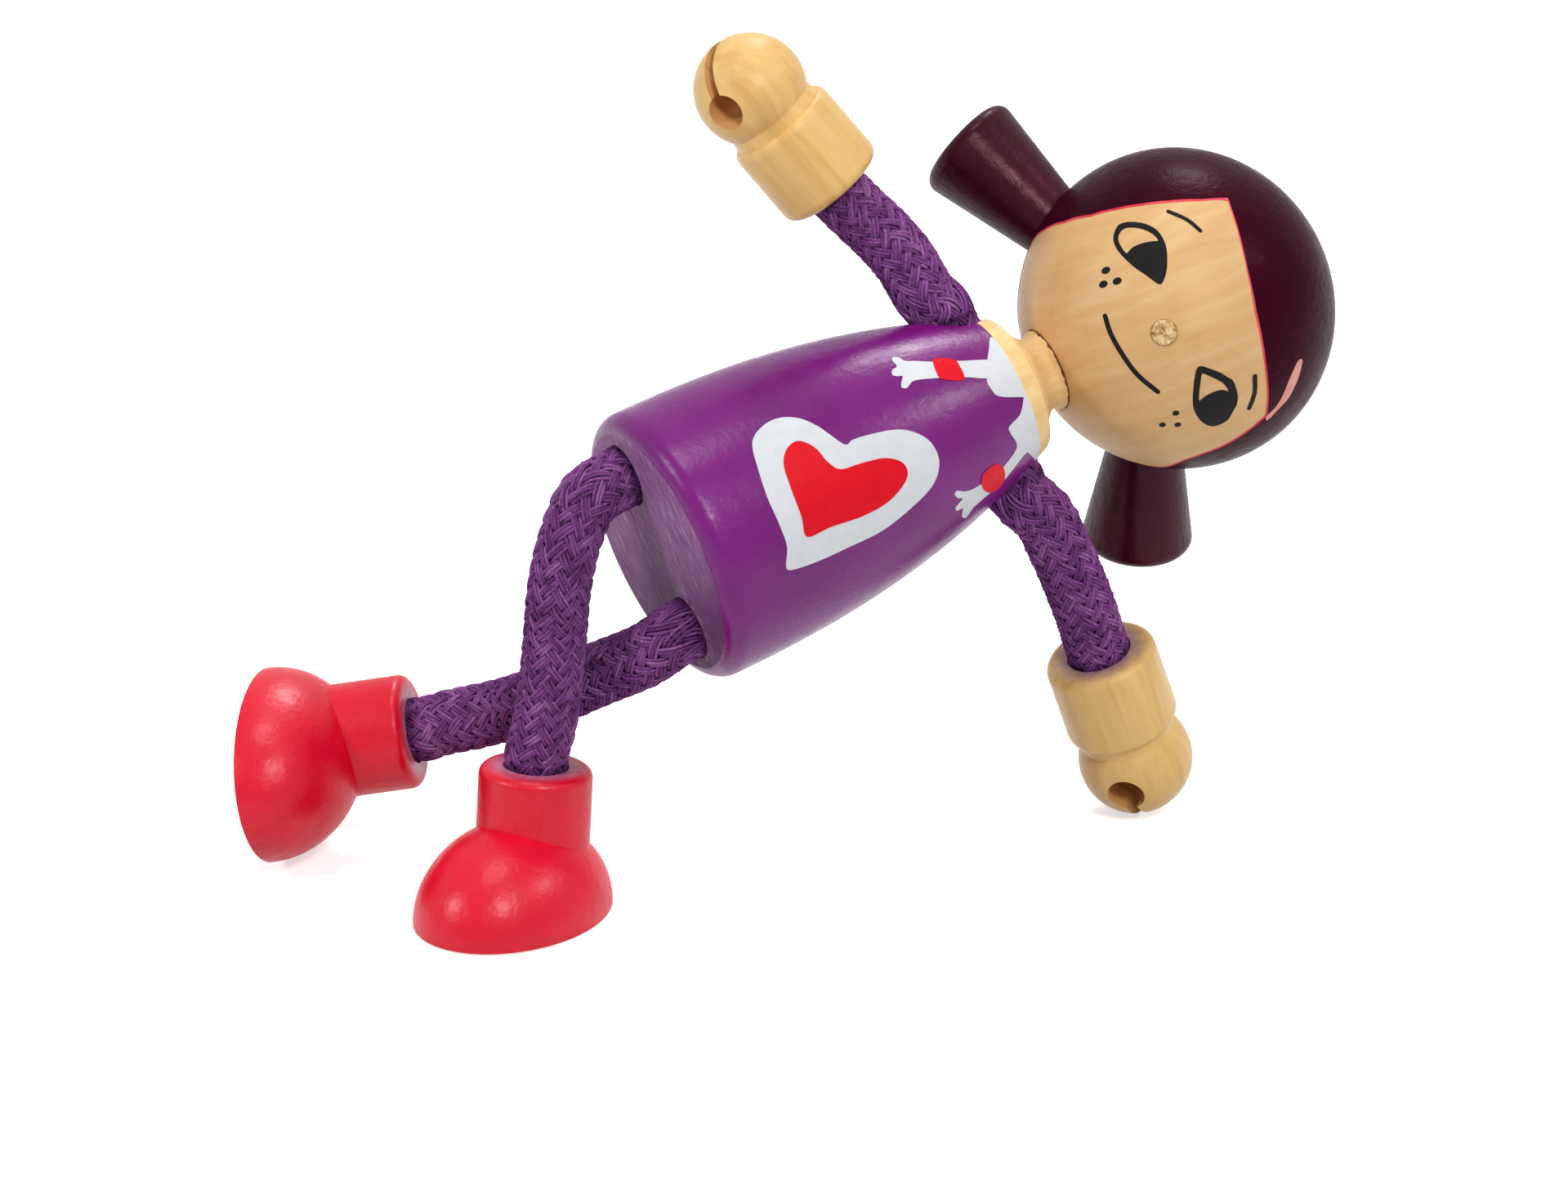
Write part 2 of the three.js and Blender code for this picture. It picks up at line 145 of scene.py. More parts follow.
# Where each limb's cord passes, as in the solids: from its mouth in the torso, then from its hand or boot
ARM_ROUTES = {
    "right": ([(-0.87, 0.29, 1.1), (-1.81, 0.74, 2.59)], [(2.29, -0.24, -2.35), (1.19, -0.09, -1.28)]),
    "left": ([(1.38, 0.11, -1.77), (2.05, 0.32, -3.24)], [(-1.22, -1.1, 4.13), (-0.63, -0.68, 2.33)]),
}
LEG_ROUTES = {
    "right": ([(-1.7, -1.1, -0.7), (-2.47, -1.74, -2.29), (-2.96, -1.99, -4.38)],
              [(0.89, -0.06, 6.74), (0.71, -0.06, 4.55), (0.45, -0.05, 2.4)]),
    "left": ([(-1.93, 0.48, -1.49), (-3.97, 2.01, -3.02), (-6.08, 3.58, -4.61)],
             [(4.41, -1.22, 1.59), (2.79, -0.64, 0.93), (1.28, -0.21, 0.42)]),
}

# Camera
PIXEL = 0.037
ELEVATION = math.radians(22)
VIEW_RIGHT = 12.28
VIEW_UP = 14.41
PICTURE_WIDTH = 1919
LENS = 1200
SENSOR = 36
SIGHT_START = 0.1
SIGHT_END = 10


def make_camera():
    right = np.array([1, 0, 0])
    ahead = np.array([0, math.cos(ELEVATION), -math.sin(ELEVATION)])
    up = np.cross(right, ahead)
    middle = BOOTS["right"][:3, 3] + right * VIEW_RIGHT + up * VIEW_UP
    distance = LENS / SENSOR * PICTURE_WIDTH * PIXEL
    data = bpy.data.cameras.new("camera")
    data.lens = LENS
    data.sensor_width = SENSOR
    data.clip_start = SIGHT_START
    data.clip_end = SIGHT_END
    camera = bpy.data.objects.new("camera", data)
    camera.location = Vector((middle - ahead * distance) * MM)
    camera.rotation_euler = (math.pi / 2 - ELEVATION, 0, 0)
    bpy.context.scene.collection.objects.link(camera)
    bpy.context.scene.camera = camera


# Node materials
FLOOR_GLOW = 0.58
GLUE_WIDTH = 0.4
STAIN_WIDTH = 0.9


def linear(colour):
    """Linear value of a colour given as red, green and blue from 0 to 255; four values stay the same."""
    if len(colour) == 4:
        return colour
    parts = [c / 255 for c in colour]
    return tuple(c / 12.92 if c <= 0.04045 else ((c + 0.055) / 1.055) ** 2.4 for c in parts) + (1,)


class Nodes:
    """Adds and links the nodes of one tree."""

    def __init__(self, tree):
        self.tree = tree
        tree.nodes.clear()

    def add(self, kind, inputs=None, **settings):
        node = self.tree.nodes.new(kind)
        for key, value in settings.items():
            setattr(node, key, value)
        for key, value in (inputs or {}).items():
            self.feed(node.inputs[key], value)
        return node

    def feed(self, socket, value):
        if isinstance(value, bpy.types.NodeSocket):
            self.tree.links.new(value, socket)
        else:
            socket.default_value = linear(value) if socket.type == "RGBA" else value

    def maths(self, operation, a, b=0.0):
        return self.add("ShaderNodeMath", {0: a, 1: b}, operation=operation).outputs[0]

    def times(self, a, b):
        return self.maths("MULTIPLY", a, b)

    def plus(self, a, b):
        return self.maths("ADD", a, b)

    def seen(self):
        """1 for what the camera sees, also in a reflection or through glass; 0 for light that spreads."""
        path = self.add("ShaderNodeLightPath").outputs
        direct = self.maths("MAXIMUM", path["Is Camera Ray"], path["Is Glossy Ray"])
        return self.maths("MAXIMUM", direct, path["Is Transmission Ray"])


class Look(Nodes):
    """A node material, read from the piece's own rest coordinates in millimetres."""

    def __init__(self, name):
        self.material = bpy.data.materials.new(name)
        self.material.use_nodes = True
        super().__init__(self.material.node_tree)
        self.rest = self.add("ShaderNodeAttribute", attribute_name="rest").outputs["Vector"]
        self.skin = self.add("ShaderNodeBsdfPrincipled")
        self.add("ShaderNodeOutputMaterial", {"Surface": self.skin.outputs["BSDF"]})

    def axes(self):
        return self.add("ShaderNodeSeparateXYZ", {"Vector": self.rest}).outputs

    def stretched(self, scale):
        return self.add("ShaderNodeMapping", {"Vector": self.rest, "Scale": scale}).outputs["Vector"]

    def noise(self, vector, scale=1.0, detail=3.0, roughness=0.55, distortion=0.0):
        inputs = {"Vector": vector, "Scale": scale, "Detail": detail, "Roughness": roughness}
        inputs["Distortion"] = distortion
        return self.add("ShaderNodeTexNoise", inputs).outputs["Fac"]

    def ramp(self, fac, stops):
        node = self.add("ShaderNodeValToRGB", {"Fac": fac})
        band = node.color_ramp
        while len(band.elements) < len(stops):
            band.elements.new(0.5)
        for element, (position, colour) in zip(band.elements, stops):
            element.position = position
            element.color = linear(colour)
        return node.outputs["Color"]

    def grey(self, fac, low, high, from_value=0.0, to_value=1.0):
        inputs = {"Value": fac, "From Min": low, "From Max": high, "To Min": from_value, "To Max": to_value}
        return self.add("ShaderNodeMapRange", inputs).outputs["Result"]

    def blend(self, fac, a, b):
        node = self.add("ShaderNodeMix", data_type="RGBA")
        for index, value in ((0, fac), (6, a), (7, b)):
            self.feed(node.inputs[index], value)
        return node.outputs[2]

    def distance(self, x, y):
        return self.maths("SQRT", self.plus(self.times(x, x), self.times(y, y)))

    def bump(self, height, distance):
        return self.add("ShaderNodeBump", {"Height": height, "Distance": distance * MM}).outputs["Normal"]

    def gloss(self, shine, rim_shine):
        """Strength of the gloss, from face-on to grazing."""
        if rim_shine is None:
            return shine
        facing = self.add("ShaderNodeLayerWeight", {"Blend": 0.5}).outputs["Facing"]
        return self.grey(facing, 0.3, 0.8, shine, rim_shine)

    def finish(self, colour, roughness, normal=None, shine=0.2, **more):
        values = {"Base Color": colour, "Roughness": roughness, "Specular IOR Level": shine}
        values.update((key.replace("_", " "), value) for key, value in more.items())
        if normal is not None:
            values["Normal"] = normal
        for key, value in values.items():
            self.feed(self.skin.inputs[key], value)
        return self.material


def paint_look(name, main, deep, worn, roughness, peel, shine, rim_shine=None, over=None, tint=None):
    """Sprayed or dipped paint: a little mottling, fine grain showing through and a soft uneven gloss.
    over can lay a further colour on it, and tint colours the gloss, as a stained varnish does."""
    look = Look(name)
    cloud = look.noise(look.rest, 0.22, 3)
    colour = look.ramp(cloud, [(0.35, deep), (0.62, main)])
    fine = look.noise(look.rest, 9.0, 4, 0.7)
    speck = look.grey(fine, 0.55, 0.75)
    colour = look.blend(look.times(speck, 0.2), colour, worn)
    if over is not None:
        colour = over(look, colour)
    grain = look.noise(look.stretched((3.5, 3.5, 0.5)), 1.0, 4, 0.6)
    orange = look.noise(look.rest, 2.2, 3, 0.6)
    height = look.plus(look.times(grain, 0.5), orange)
    rough = look.grey(look.noise(look.rest, 1.1, 4, 0.65), 0.3, 0.7, roughness - 0.05, roughness + 0.07)
    if tint is not None:
        look.feed(look.skin.inputs["Specular Tint"], (*tint, 1.0))
    return look.finish(colour, rough, look.bump(height, peel), look.gloss(shine, rim_shine))


def wood_look(name, pale, mid, dark, streak, roughness, shine=0.25, along=(4.0, 4.0, 0.35), rings=0.0,
              veins=0.35, over=None):
    """Varnished wood: soft rings and fine streaks that run along one axis of the piece."""
    look = Look(name)
    stretched = look.stretched(along)
    soft = look.noise(stretched, 0.35, 4, 0.55, 0.6)
    colour = look.ramp(soft, [(0.3, dark), (0.5, mid), (0.72, pale)])
    fine = look.noise(stretched, 2.4, 5, 0.7)
    colour = look.blend(look.times(look.grey(fine, 0.56, 0.72), veins), colour, streak)
    if rings:
        inputs = {"Vector": look.stretched((1, 1, 0.25)), "Scale": rings, "Distortion": 2.4, "Detail": 2.0}
        wave = look.add("ShaderNodeTexWave", {**inputs, "Detail Scale": 0.5})
        line = look.grey(wave.outputs["Fac"], 0.62, 0.95)
        colour = look.blend(look.times(line, veins / 2), colour, streak)
    if over is not None:
        colour = over(look, colour)
    pores = look.noise(stretched, 6.0, 3, 0.6)
    rough = look.grey(soft, 0.3, 0.7, roughness, roughness + 0.1)
    return look.finish(colour, rough, look.bump(pores, 0.012), shine)


def boot_glue(look, colour):
    """Dried glue round the cord, on top of a boot's leg."""
    parts = look.axes()
    from_heel = look.plus(parts["X"], BOOT_LEG_BACK)
    cos_lean, sin_lean = math.cos(LEAN), math.sin(LEAN)
    across = look.plus(look.times(from_heel, cos_lean), look.times(parts["Z"], sin_lean))
    height = look.maths("SUBTRACT", look.times(parts["Z"], cos_lean), look.times(from_heel, sin_lean))
    far = look.distance(across, parts["Y"])
    near = look.grey(far, HOLE_RADIUS + GLUE_WIDTH / 2, HOLE_RADIUS + STAIN_WIDTH, 1, 0)
    haze = look.times(near, look.grey(height, BOOT_LEG_TOP - 0.2, BOOT_LEG_TOP - 0.05))
    patchy = look.grey(look.noise(look.rest, 3.0, 3), 0.35, 0.6, 0.5, 1)
    return look.blend(look.times(haze, patchy), colour, (186, 116, 146))


def hand_stain(look, colour):
    """Dye and dried glue round the cord, at the mouth of a hand's socket."""
    parts = look.axes()
    near = look.grey(look.distance(parts["X"], parts["Y"]), HOLE_RADIUS, HOLE_RADIUS + STAIN_WIDTH, 1, 0)
    haze = look.times(near, look.grey(parts["Z"], 0, 0.4, 1, 0))
    patchy = look.grey(look.noise(look.rest, 2.0, 3), 0.35, 0.6, 0.5, 0.9)
    return look.blend(look.times(haze, patchy), colour, (142, 104, 138))


def sole_look():
    """Stained end grain under the torso: pale scratches along one direction and dried glue by the holes. A
    painted shade darkens it towards the doll's left.
    """
    look = Look("torso_sole")
    lines = look.noise(look.stretched((6.0, 0.5, 1.0)), 1.6, 5, 0.75)
    cloud = look.noise(look.rest, 0.45, 3)
    colour = look.ramp(lines, [(0.36, (104, 50, 106)), (0.52, (148, 94, 150)),
                               (0.66, (196, 158, 194))])
    parts = look.axes()
    # Painted shade: the sole turns darker towards the doll's left, with a cloudy edge.
    painted_shade_left = look.grey(look.plus(look.times(cloud, 4), parts["Y"]), 1, 6, 0, 0.85)
    colour = look.blend(painted_shade_left, colour, (82, 40, 84))
    aside = look.maths("SUBTRACT", look.maths("ABSOLUTE", parts["Y"]), LEG_HOLE_SPREAD)
    glue = look.grey(look.distance(parts["X"], aside), HOLE_RADIUS, HOLE_RADIUS + 2 * GLUE_WIDTH, 0.8, 0)
    patchy = look.grey(look.noise(look.rest, 2.2, 4), 0.4, 0.62)
    colour = look.blend(look.times(glue, patchy), colour, (166, 128, 160))
    return look.finish(colour, 0.6, look.bump(lines, 0.05), 0.15)


def print_look(name, main, shade, roughness=0.42):
    look = Look(name)
    cloud = look.noise(look.rest, 1.3, 4, 0.65)
    colour = look.ramp(cloud, [(0.3, shade), (0.7, main)])
    fine = look.noise(look.rest, 9.0, 3, 0.6)
    return look.finish(colour, roughness, look.bump(fine, 0.012), 0.12)


def cotton_look(name, deep, mid, light):
    """Dyed cotton yarn: twisted fibres, a tone of its own for each yarn, and a dusty sheen."""
    look = Look(name)
    tone = look.add("ShaderNodeAttribute", attribute_name="tone").outputs["Fac"]
    fibres = look.noise(look.rest, 14.0, 4, 0.75)
    cloud = look.noise(look.rest, 0.9, 3)
    mixed = look.plus(look.times(fibres, 0.6), look.times(tone, 0.13))
    mixed = look.plus(mixed, look.times(cloud, 0.27))
    colour = look.ramp(mixed, [(0.36, deep), (0.52, mid), (0.7, light)])
    height = look.bump(fibres, 0.1)
    return look.finish(colour, 0.9, height, 0.1, Sheen_Weight=0.15, Sheen_Roughness=0.5,
                       Sheen_Tint=(200, 150, 200))


def nose_look():
    """End grain of a small dowel: pale and dark pores."""
    look = Look("nose_end_grain")
    pores = look.add("ShaderNodeTexVoronoi", {"Vector": look.rest, "Scale": 5.5}).outputs["Distance"]
    blot = look.noise(look.rest, 4.0, 4, 0.7)
    colour = look.ramp(blot, [(0.36, (118, 78, 40)), (0.5, (205, 165, 112)),
                              (0.66, (240, 216, 170))])
    dots = look.grey(pores, 0.12, 0.3)
    colour = look.blend(dots, (140, 98, 58), colour)
    return look.finish(colour, 0.55, look.bump(blot, 0.05), 0.15)


def wire_look():
    look = Look("bare_wire")
    drawn = look.noise(look.stretched((6, 6, 0.6)), 2.0, 3)
    colour = look.ramp(drawn, [(0.3, (150, 150, 154)), (0.7, (200, 200, 204))])
    return look.finish(colour, 0.35, look.bump(drawn, 0.01), 0.5, Metallic=1.0)


def floor_look():
    """White where it is seen, with the shadows left in, and duller as a source of light."""
    look = Look("pale_floor")
    fine = look.noise(look.rest, 0.05, 2)
    dull = look.ramp(fine, [(0.0, (0.6, 0.6, 0.6, 1)), (1.0, (0.64, 0.64, 0.64, 1))])
    seen = look.seen()
    tint = look.blend(seen, dull, (0.95, 0.95, 0.95, 1))
    glow = look.times(seen, FLOOR_GLOW)
    return look.finish(tint, 0.95, None, 0.0, Emission_Color=(1, 1, 1, 1), Emission_Strength=glow)


LOOKS = {
    "violet": paint_look("violet_paint", (115, 15, 114), (104, 13, 103), (132, 44, 132),
                         roughness=0.28, peel=0.02, shine=0.25, rim_shine=0.13),
    "hair": paint_look("hair_paint", (51, 4, 22), (43, 3, 18), (72, 18, 38),
                       roughness=0.3, peel=0.03, shine=0.05, rim_shine=0.012, tint=(1.0, 0.3, 0.5)),
    "pigtail": paint_look("pigtail_paint", (56, 5, 24), (47, 4, 19), (78, 20, 42),
                          roughness=0.31, peel=0.03, shine=0.2, rim_shine=0.03, tint=(1.0, 0.5, 0.6)),
    "hair_rim": paint_look("hair_rim", (226, 78, 90), (212, 56, 70), (236, 112, 112),
                           roughness=0.4, peel=0.02, shine=0.1),
    "red": paint_look("boot_paint", (219, 4, 43), (211, 3, 37), (228, 28, 56),
                      roughness=0.34, peel=0.03, shine=0.34, rim_shine=0.12, over=boot_glue),
    "maple": wood_look("maple_head", (217, 181, 129), (210, 167, 112), (203, 158, 101), (190, 142, 90),
                       roughness=0.4, shine=0.36, along=(0.5, 3.6, 0.5), rings=0.35, veins=0.16),
    "neck": wood_look("neck_wood", (240, 208, 150), (234, 198, 138), (224, 184, 120), (214, 172, 108),
                      roughness=0.42, shine=0.2),
    "honey": wood_look("honey_wood", (230, 190, 122), (221, 179, 108), (209, 162, 93), (192, 142, 80),
                       roughness=0.3, shine=0.3, veins=0.2, over=hand_stain),
    "dowel": wood_look("peg_wood", (222, 184, 130), (208, 166, 112), (190, 146, 94), (160, 118, 72),
                       roughness=0.5),
    "end_hole": wood_look("cut_wood", (226, 176, 116), (212, 158, 98), (192, 136, 78), (160, 108, 60),
                          roughness=0.7, shine=0.0),
    "seam": print_look("seam_glue", (120, 74, 40), (84, 46, 24), roughness=0.7),
    "sole": sole_look(),
    "white": print_look("white_print", (214, 216, 220), (204, 207, 211)),
    "scarlet": print_look("red_print", (220, 16, 36), (210, 12, 30)),
    "ink": print_look("black_print", (24, 20, 22), (16, 12, 16), roughness=0.6),
    "lock": print_look("pink_print", (226, 162, 146), (216, 132, 128)),
    "cotton": cotton_look("purple_cotton", (78, 32, 84), (148, 78, 156), (200, 144, 200)),
    # Painted shade: a dark core under the braid shows in the gaps between the yarns, where there is only
    # shadow.
    "shade_core": print_look("cord_shade_core", (40, 14, 46), (28, 10, 34), roughness=0.95),
    "nose": nose_look(),
    "wire": wire_look(),
    "floor": floor_look(),
}


# Mesh making
def new_mesh(name, shape, matrix, looks, which=None, sharp=0, tone=None):
    """A linked object from a shape, which is points in millimetres in a piece's own frame, and faces.
    which gives the number of each face's look, and tone a shade for each point."""
    mesh = bpy.data.meshes.new(name)
    vertices = np.array(shape[0], float)
    mesh.from_pydata(moved(matrix, vertices) * MM, [], shape[1])
    attribute = mesh.attributes.new("rest", "FLOAT_VECTOR", "POINT")
    attribute.data.foreach_set("vector", vertices.astype(np.float32).ravel())
    if tone is not None:
        attribute = mesh.attributes.new("tone", "FLOAT", "POINT")
        attribute.data.foreach_set("value", np.array(tone, np.float32))
    for look in looks:
        mesh.materials.append(LOOKS[look])
    if which is not None:
        mesh.polygons.foreach_set("material_index", np.array(which, np.int32))
    mesh.polygons.foreach_set("use_smooth", np.ones(len(mesh.polygons), bool))
    if sharp:
        mesh.set_sharp_from_angle(angle=math.radians(sharp))
    return linked(name, mesh)


def linked(name, mesh):
    piece = bpy.data.objects.new(name, mesh)
    bpy.context.scene.collection.objects.link(piece)
    return piece


def add_piece(name, shape, matrix, looks, body, slot, *nodes, which=None, sharp=THIN_SHARP):
    """A piece that rides on a body, in place of the solids named by nodes."""
    piece = new_mesh(name, shape, matrix, looks, which, sharp)
    if nodes:
        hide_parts(*nodes)
    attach(piece, body)


def numbered_rings(count, size, start=0):
    """Point numbers of rings of one size, in a row."""
    return [range(start + ring * size, start + (ring + 1) * size) for ring in range(count)]


def bands(rings):
    """Faces between each closed ring of point numbers and the next; a ring on the axis has one number."""
    faces = []
    for low, high in zip(rings, rings[1:]):
        sides = max(len(low), len(high))
        for side in range(sides):
            after = (side + 1) % sides
            if len(low) == 1:
                faces.append((low[0], high[after], high[side]))
            elif len(high) == 1:
                faces.append((low[side], low[after], high[0]))
            else:
                faces.append((low[side], low[after], high[after], high[side]))
    return faces


def lathe(profile, sides=TURNED_SIDES):
    """Turned solid about +Z from (radius, height) points that start and end on the axis."""
    vertices, rings = [], []
    for radius, height in profile:
        if radius < TINY:
            rings.append([len(vertices)])
            vertices.append((0, 0, height))
            continue
        rings.append(list(range(len(vertices), len(vertices) + sides)))
        for side in range(sides):
            angle = 2 * math.pi * side / sides
            vertices.append((radius * math.cos(angle), radius * math.sin(angle), height))
    return np.array(vertices), bands(rings)


def arc(centre_radius, centre_height, radius, start, stop, steps):
    """Points of an arc between two angles in degrees."""
    angles = [math.radians(start + (stop - start) * step / steps) for step in range(steps + 1)]
    return [(centre_radius + radius * math.cos(a), centre_height + radius * math.sin(a)) for a in angles]


def placed(matrix, shape):
    return moved(matrix, shape[0]), shape[1]


def rod(radius, low, high, matrix=np.identity(4)):
    return placed(matrix, lathe([(0, low), (radius, low), (radius, high), (0, high)], HOLE_SIDES))


def block(low, high):
    corners = [(x, y, z) for z in (low[2], high[2]) for y in (low[1], high[1]) for x in (low[0], high[0])]
    faces = [(0, 2, 3, 1), (4, 5, 7, 6), (0, 1, 5, 4), (2, 6, 7, 3), (0, 4, 6, 2), (1, 3, 7, 5)]
    return np.array(corners, float), faces


def plain_object(shape):
    mesh = bpy.data.meshes.new("cutter")
    mesh.from_pydata(shape[0], [], shape[1])
    return linked("cutter", mesh)


def combined(shape, others, operation="DIFFERENCE"):
    """A shape with the others cut from it or joined to it."""
    target = plain_object(shape)
    cutters = [plain_object(other) for other in others]
    for cutter in cutters:
        modifier = target.modifiers.new("cut", "BOOLEAN")
        modifier.object = cutter
        modifier.operation = operation
        modifier.solver = "EXACT"
    seen = target.evaluated_get(bpy.context.evaluated_depsgraph_get()).data
    vertices = np.array([v.co for v in seen.vertices])
    faces = [tuple(p.vertices) for p in seen.polygons]
    for piece in [target, *cutters]:
        mesh = piece.data
        bpy.data.objects.remove(piece)
        bpy.data.meshes.remove(mesh)
    return vertices, faces


def centres(shape):
    vertices, faces = shape
    return np.array([vertices[list(face)].mean(axis=0) for face in faces])


# Torso
TORSO_ROWS = [(TORSO_EDGE, PAINT_TOP, 40), (PAINT_TOP, TORSO_HEIGHT, 6), (TORSO_HEIGHT, NECK_TOP, 26)]
BORE_REACH = 9
SOLE_SKIN = 0.02
SEAM_SEED = 5
SEAM_SPOTS = 150
SEAM_WIDTH = 0.09
SEAM_DEPTH = 0.05
SEAM_RISE = 0.005
SEAM_RAGGED_BELOW = 0.04
SEAM_RAGGED_ABOVE = 0.03


def torso_radius(height):
    if height <= TORSO_HEIGHT:
        share = 1 - TORSO_TOP_RADIUS / TORSO_RADIUS
        return TORSO_RADIUS * (1 - share * (max(height, 0) / TORSO_HEIGHT) ** TAPER_POWER)
    rise = min(1, (height - TORSO_HEIGHT) / NECK_HEIGHT)
    taper = (TORSO_TOP_RADIUS - NECK_RADIUS) * (1 - rise) ** NECK_TAPER_POWER
    return NECK_RADIUS + taper + NECK_FLARE_WIDTH * rise**NECK_FLARE_POWER


def make_torso():
    profile = [(0, 0), *arc(TORSO_RADIUS - TORSO_EDGE, TORSO_EDGE, TORSO_EDGE, -90, 0, EDGE_STEPS)]
    for low, high, rows in TORSO_ROWS:
        profile += [(torso_radius(height), height) for height in np.linspace(low, high, rows)[1:]]
    profile += [(torso_radius(NECK_TOP), SEAT_HEIGHT), (0, SEAT_HEIGHT)]
    bore = stand((0, 0, ARM_BORE_HEIGHT), (0, 1, 0), (1, 0, 0))
    cutters = [rod(HOLE_RADIUS, -BORE_REACH, BORE_REACH, bore)]
    for side in SIDES.values():
        hole = stand((0, side * LEG_HOLE_SPREAD, 0), (0, 0, 1), (1, 0, 0))
        cutters.append(rod(HOLE_RADIUS, -CUT_PAST, LEG_HOLE_DEPTH, hole))
    shape = combined(lathe(profile), cutters)
    middle = centres(shape)
    which = np.where(middle[:, 2] > PAINT_TOP, 1, 0)
    which[(middle[:, 2] < SOLE_SKIN) & (np.hypot(middle[:, 0], middle[:, 1]) < TORSO_RADIUS)] = 2
    add_piece("turned_torso", shape, TORSO, ["violet", "neck", "sole"], "torso", "torso_paint", "torso",
              which=which, sharp=TURNED_SHARP)


def make_neck_seam():
    """A ragged ring of dried glue between the neck and the head."""
    draw = random.Random(SEAM_SEED)
    rough = np.array([draw.random() ** 2 for _ in range(SEAM_SPOTS)])
    rough = 0.6 * rough + 0.2 * np.roll(rough, 1) + 0.2 * np.roll(rough, -1)
    top = np.full(SEAM_SPOTS, SEAT_HEIGHT)
    bottom = SEAT_HEIGHT - SEAM_WIDTH * (0.5 + rough)
    inner = np.full(SEAM_SPOTS, torso_radius(NECK_TOP) - SEAM_DEPTH)
    outer = torso_radius(NECK_TOP) + SEAM_RISE
    rings = [(inner, top), (inner, bottom), (outer + SEAM_RAGGED_BELOW * rough, bottom),
             (outer + SEAM_RAGGED_ABOVE * rough, top)]
    turn = np.linspace(0, 2 * math.pi, SEAM_SPOTS, endpoint=False)
    vertices = np.vstack([np.stack([r * np.cos(turn), r * np.sin(turn), h], axis=1) for r, h in rings])
    rows = numbered_rings(len(rings), SEAM_SPOTS)
    shape = vertices, bands([*rows, rows[0]])
    add_piece("neck_seam", shape, TORSO, ["seam"], "torso", "torso_paint", sharp=0)


# Head
def flattened(point):
    """A point of the ball, lowered where the crown is flatter than a ball."""
    x, y, z = point
    return np.array([x, y, z * HEAD_CROWN_HEIGHT / HEAD_RADIUS if z > 0 else z])


def on_head(longitude, latitude, radius=HEAD_RADIUS):
    lon, lat = math.radians(longitude), math.radians(latitude)
    level = math.cos(lat)
    return np.array([level * math.cos(lon), level * math.sin(lon), math.sin(lat)]) * radius


def spline(corners, steps):
    """Catmull-Rom curve between the second and third of each four corners in a row."""
    out = []
    for a, b, c, d in zip(corners, corners[1:], corners[2:], corners[3:]):
        for k in range(steps):
            t = k / steps
            out.append(0.5 * (2 * b + (c - a) * t + (2 * a - 5 * b + 4 * c - d) * t * t
                              + (3 * b - a - 3 * c + d) * t**3))
    return out


def closed_spline(points, steps=6):
    """Smooth closed outline through points, with a number of steps from each one to the next."""
    p = np.array(points, float)
    return np.array(spline([p[-1], *p, p[0], p[1]], steps))


def with_ends(points):
    """The points, with one more at each end, as far on as the next one is back."""
    p = np.array(points, float)
    return np.vstack([2 * p[0] - p[1], p, 2 * p[-1] - p[-2]])


def open_spline(points, steps=8):
    corners = with_ends(points)
    return np.array([*spline(list(corners), steps), corners[-2]])


def brushed(points, width):
    """Outline of a line of even width with round ends, through 2-D points in millimetres."""
    path = open_spline(points)
    along = np.gradient(path, axis=0)
    along /= np.linalg.norm(along, axis=1)[:, None]
    side = np.stack([-along[:, 1], along[:, 0]], axis=1) * width / 2
    turns = [math.pi / 2 - math.pi * step / 8 for step in range(1, 8)]
    outline = list(path + side)
    outline += [path[-1] + along[-1] * width / 2 * math.cos(t) + side[-1] * math.sin(t) for t in turns]
    outline += list((path - side)[::-1])
    outline += [path[0] - along[0] * width / 2 * math.cos(t) - side[0] * math.sin(t) for t in turns]
    return np.array(outline)


def grown(outline, distance):
    """A closed outline moved outwards, or inwards for a negative distance."""
    along = np.roll(outline, -1, axis=0) - np.roll(outline, 1, axis=0)
    along /= np.linalg.norm(along, axis=1)[:, None]
    area = np.sum(outline[:, 0] * np.roll(outline[:, 1], -1) - outline[:, 1] * np.roll(outline[:, 0], -1))
    out = np.stack([along[:, 1], -along[:, 0]], axis=1) * math.copysign(1, area)
    return outline + out * distance


def inside(points, outlines):
    """Which of the 2-D points lie within the closed outlines, by the odd-even rule."""
    result = np.zeros(len(points), bool)
    x, y = points[:, 0], points[:, 1]
    for outline in outlines:
        for (x1, y1), (x2, y2) in zip(outline, np.roll(outline, -1, axis=0)):
            crosses = (y1 > y) != (y2 > y)
            crossing = (x2 - x1) * (y - y1) / (y2 - y1 + 1e-12) + x1
            result ^= crosses & (x < crossing)
    return result


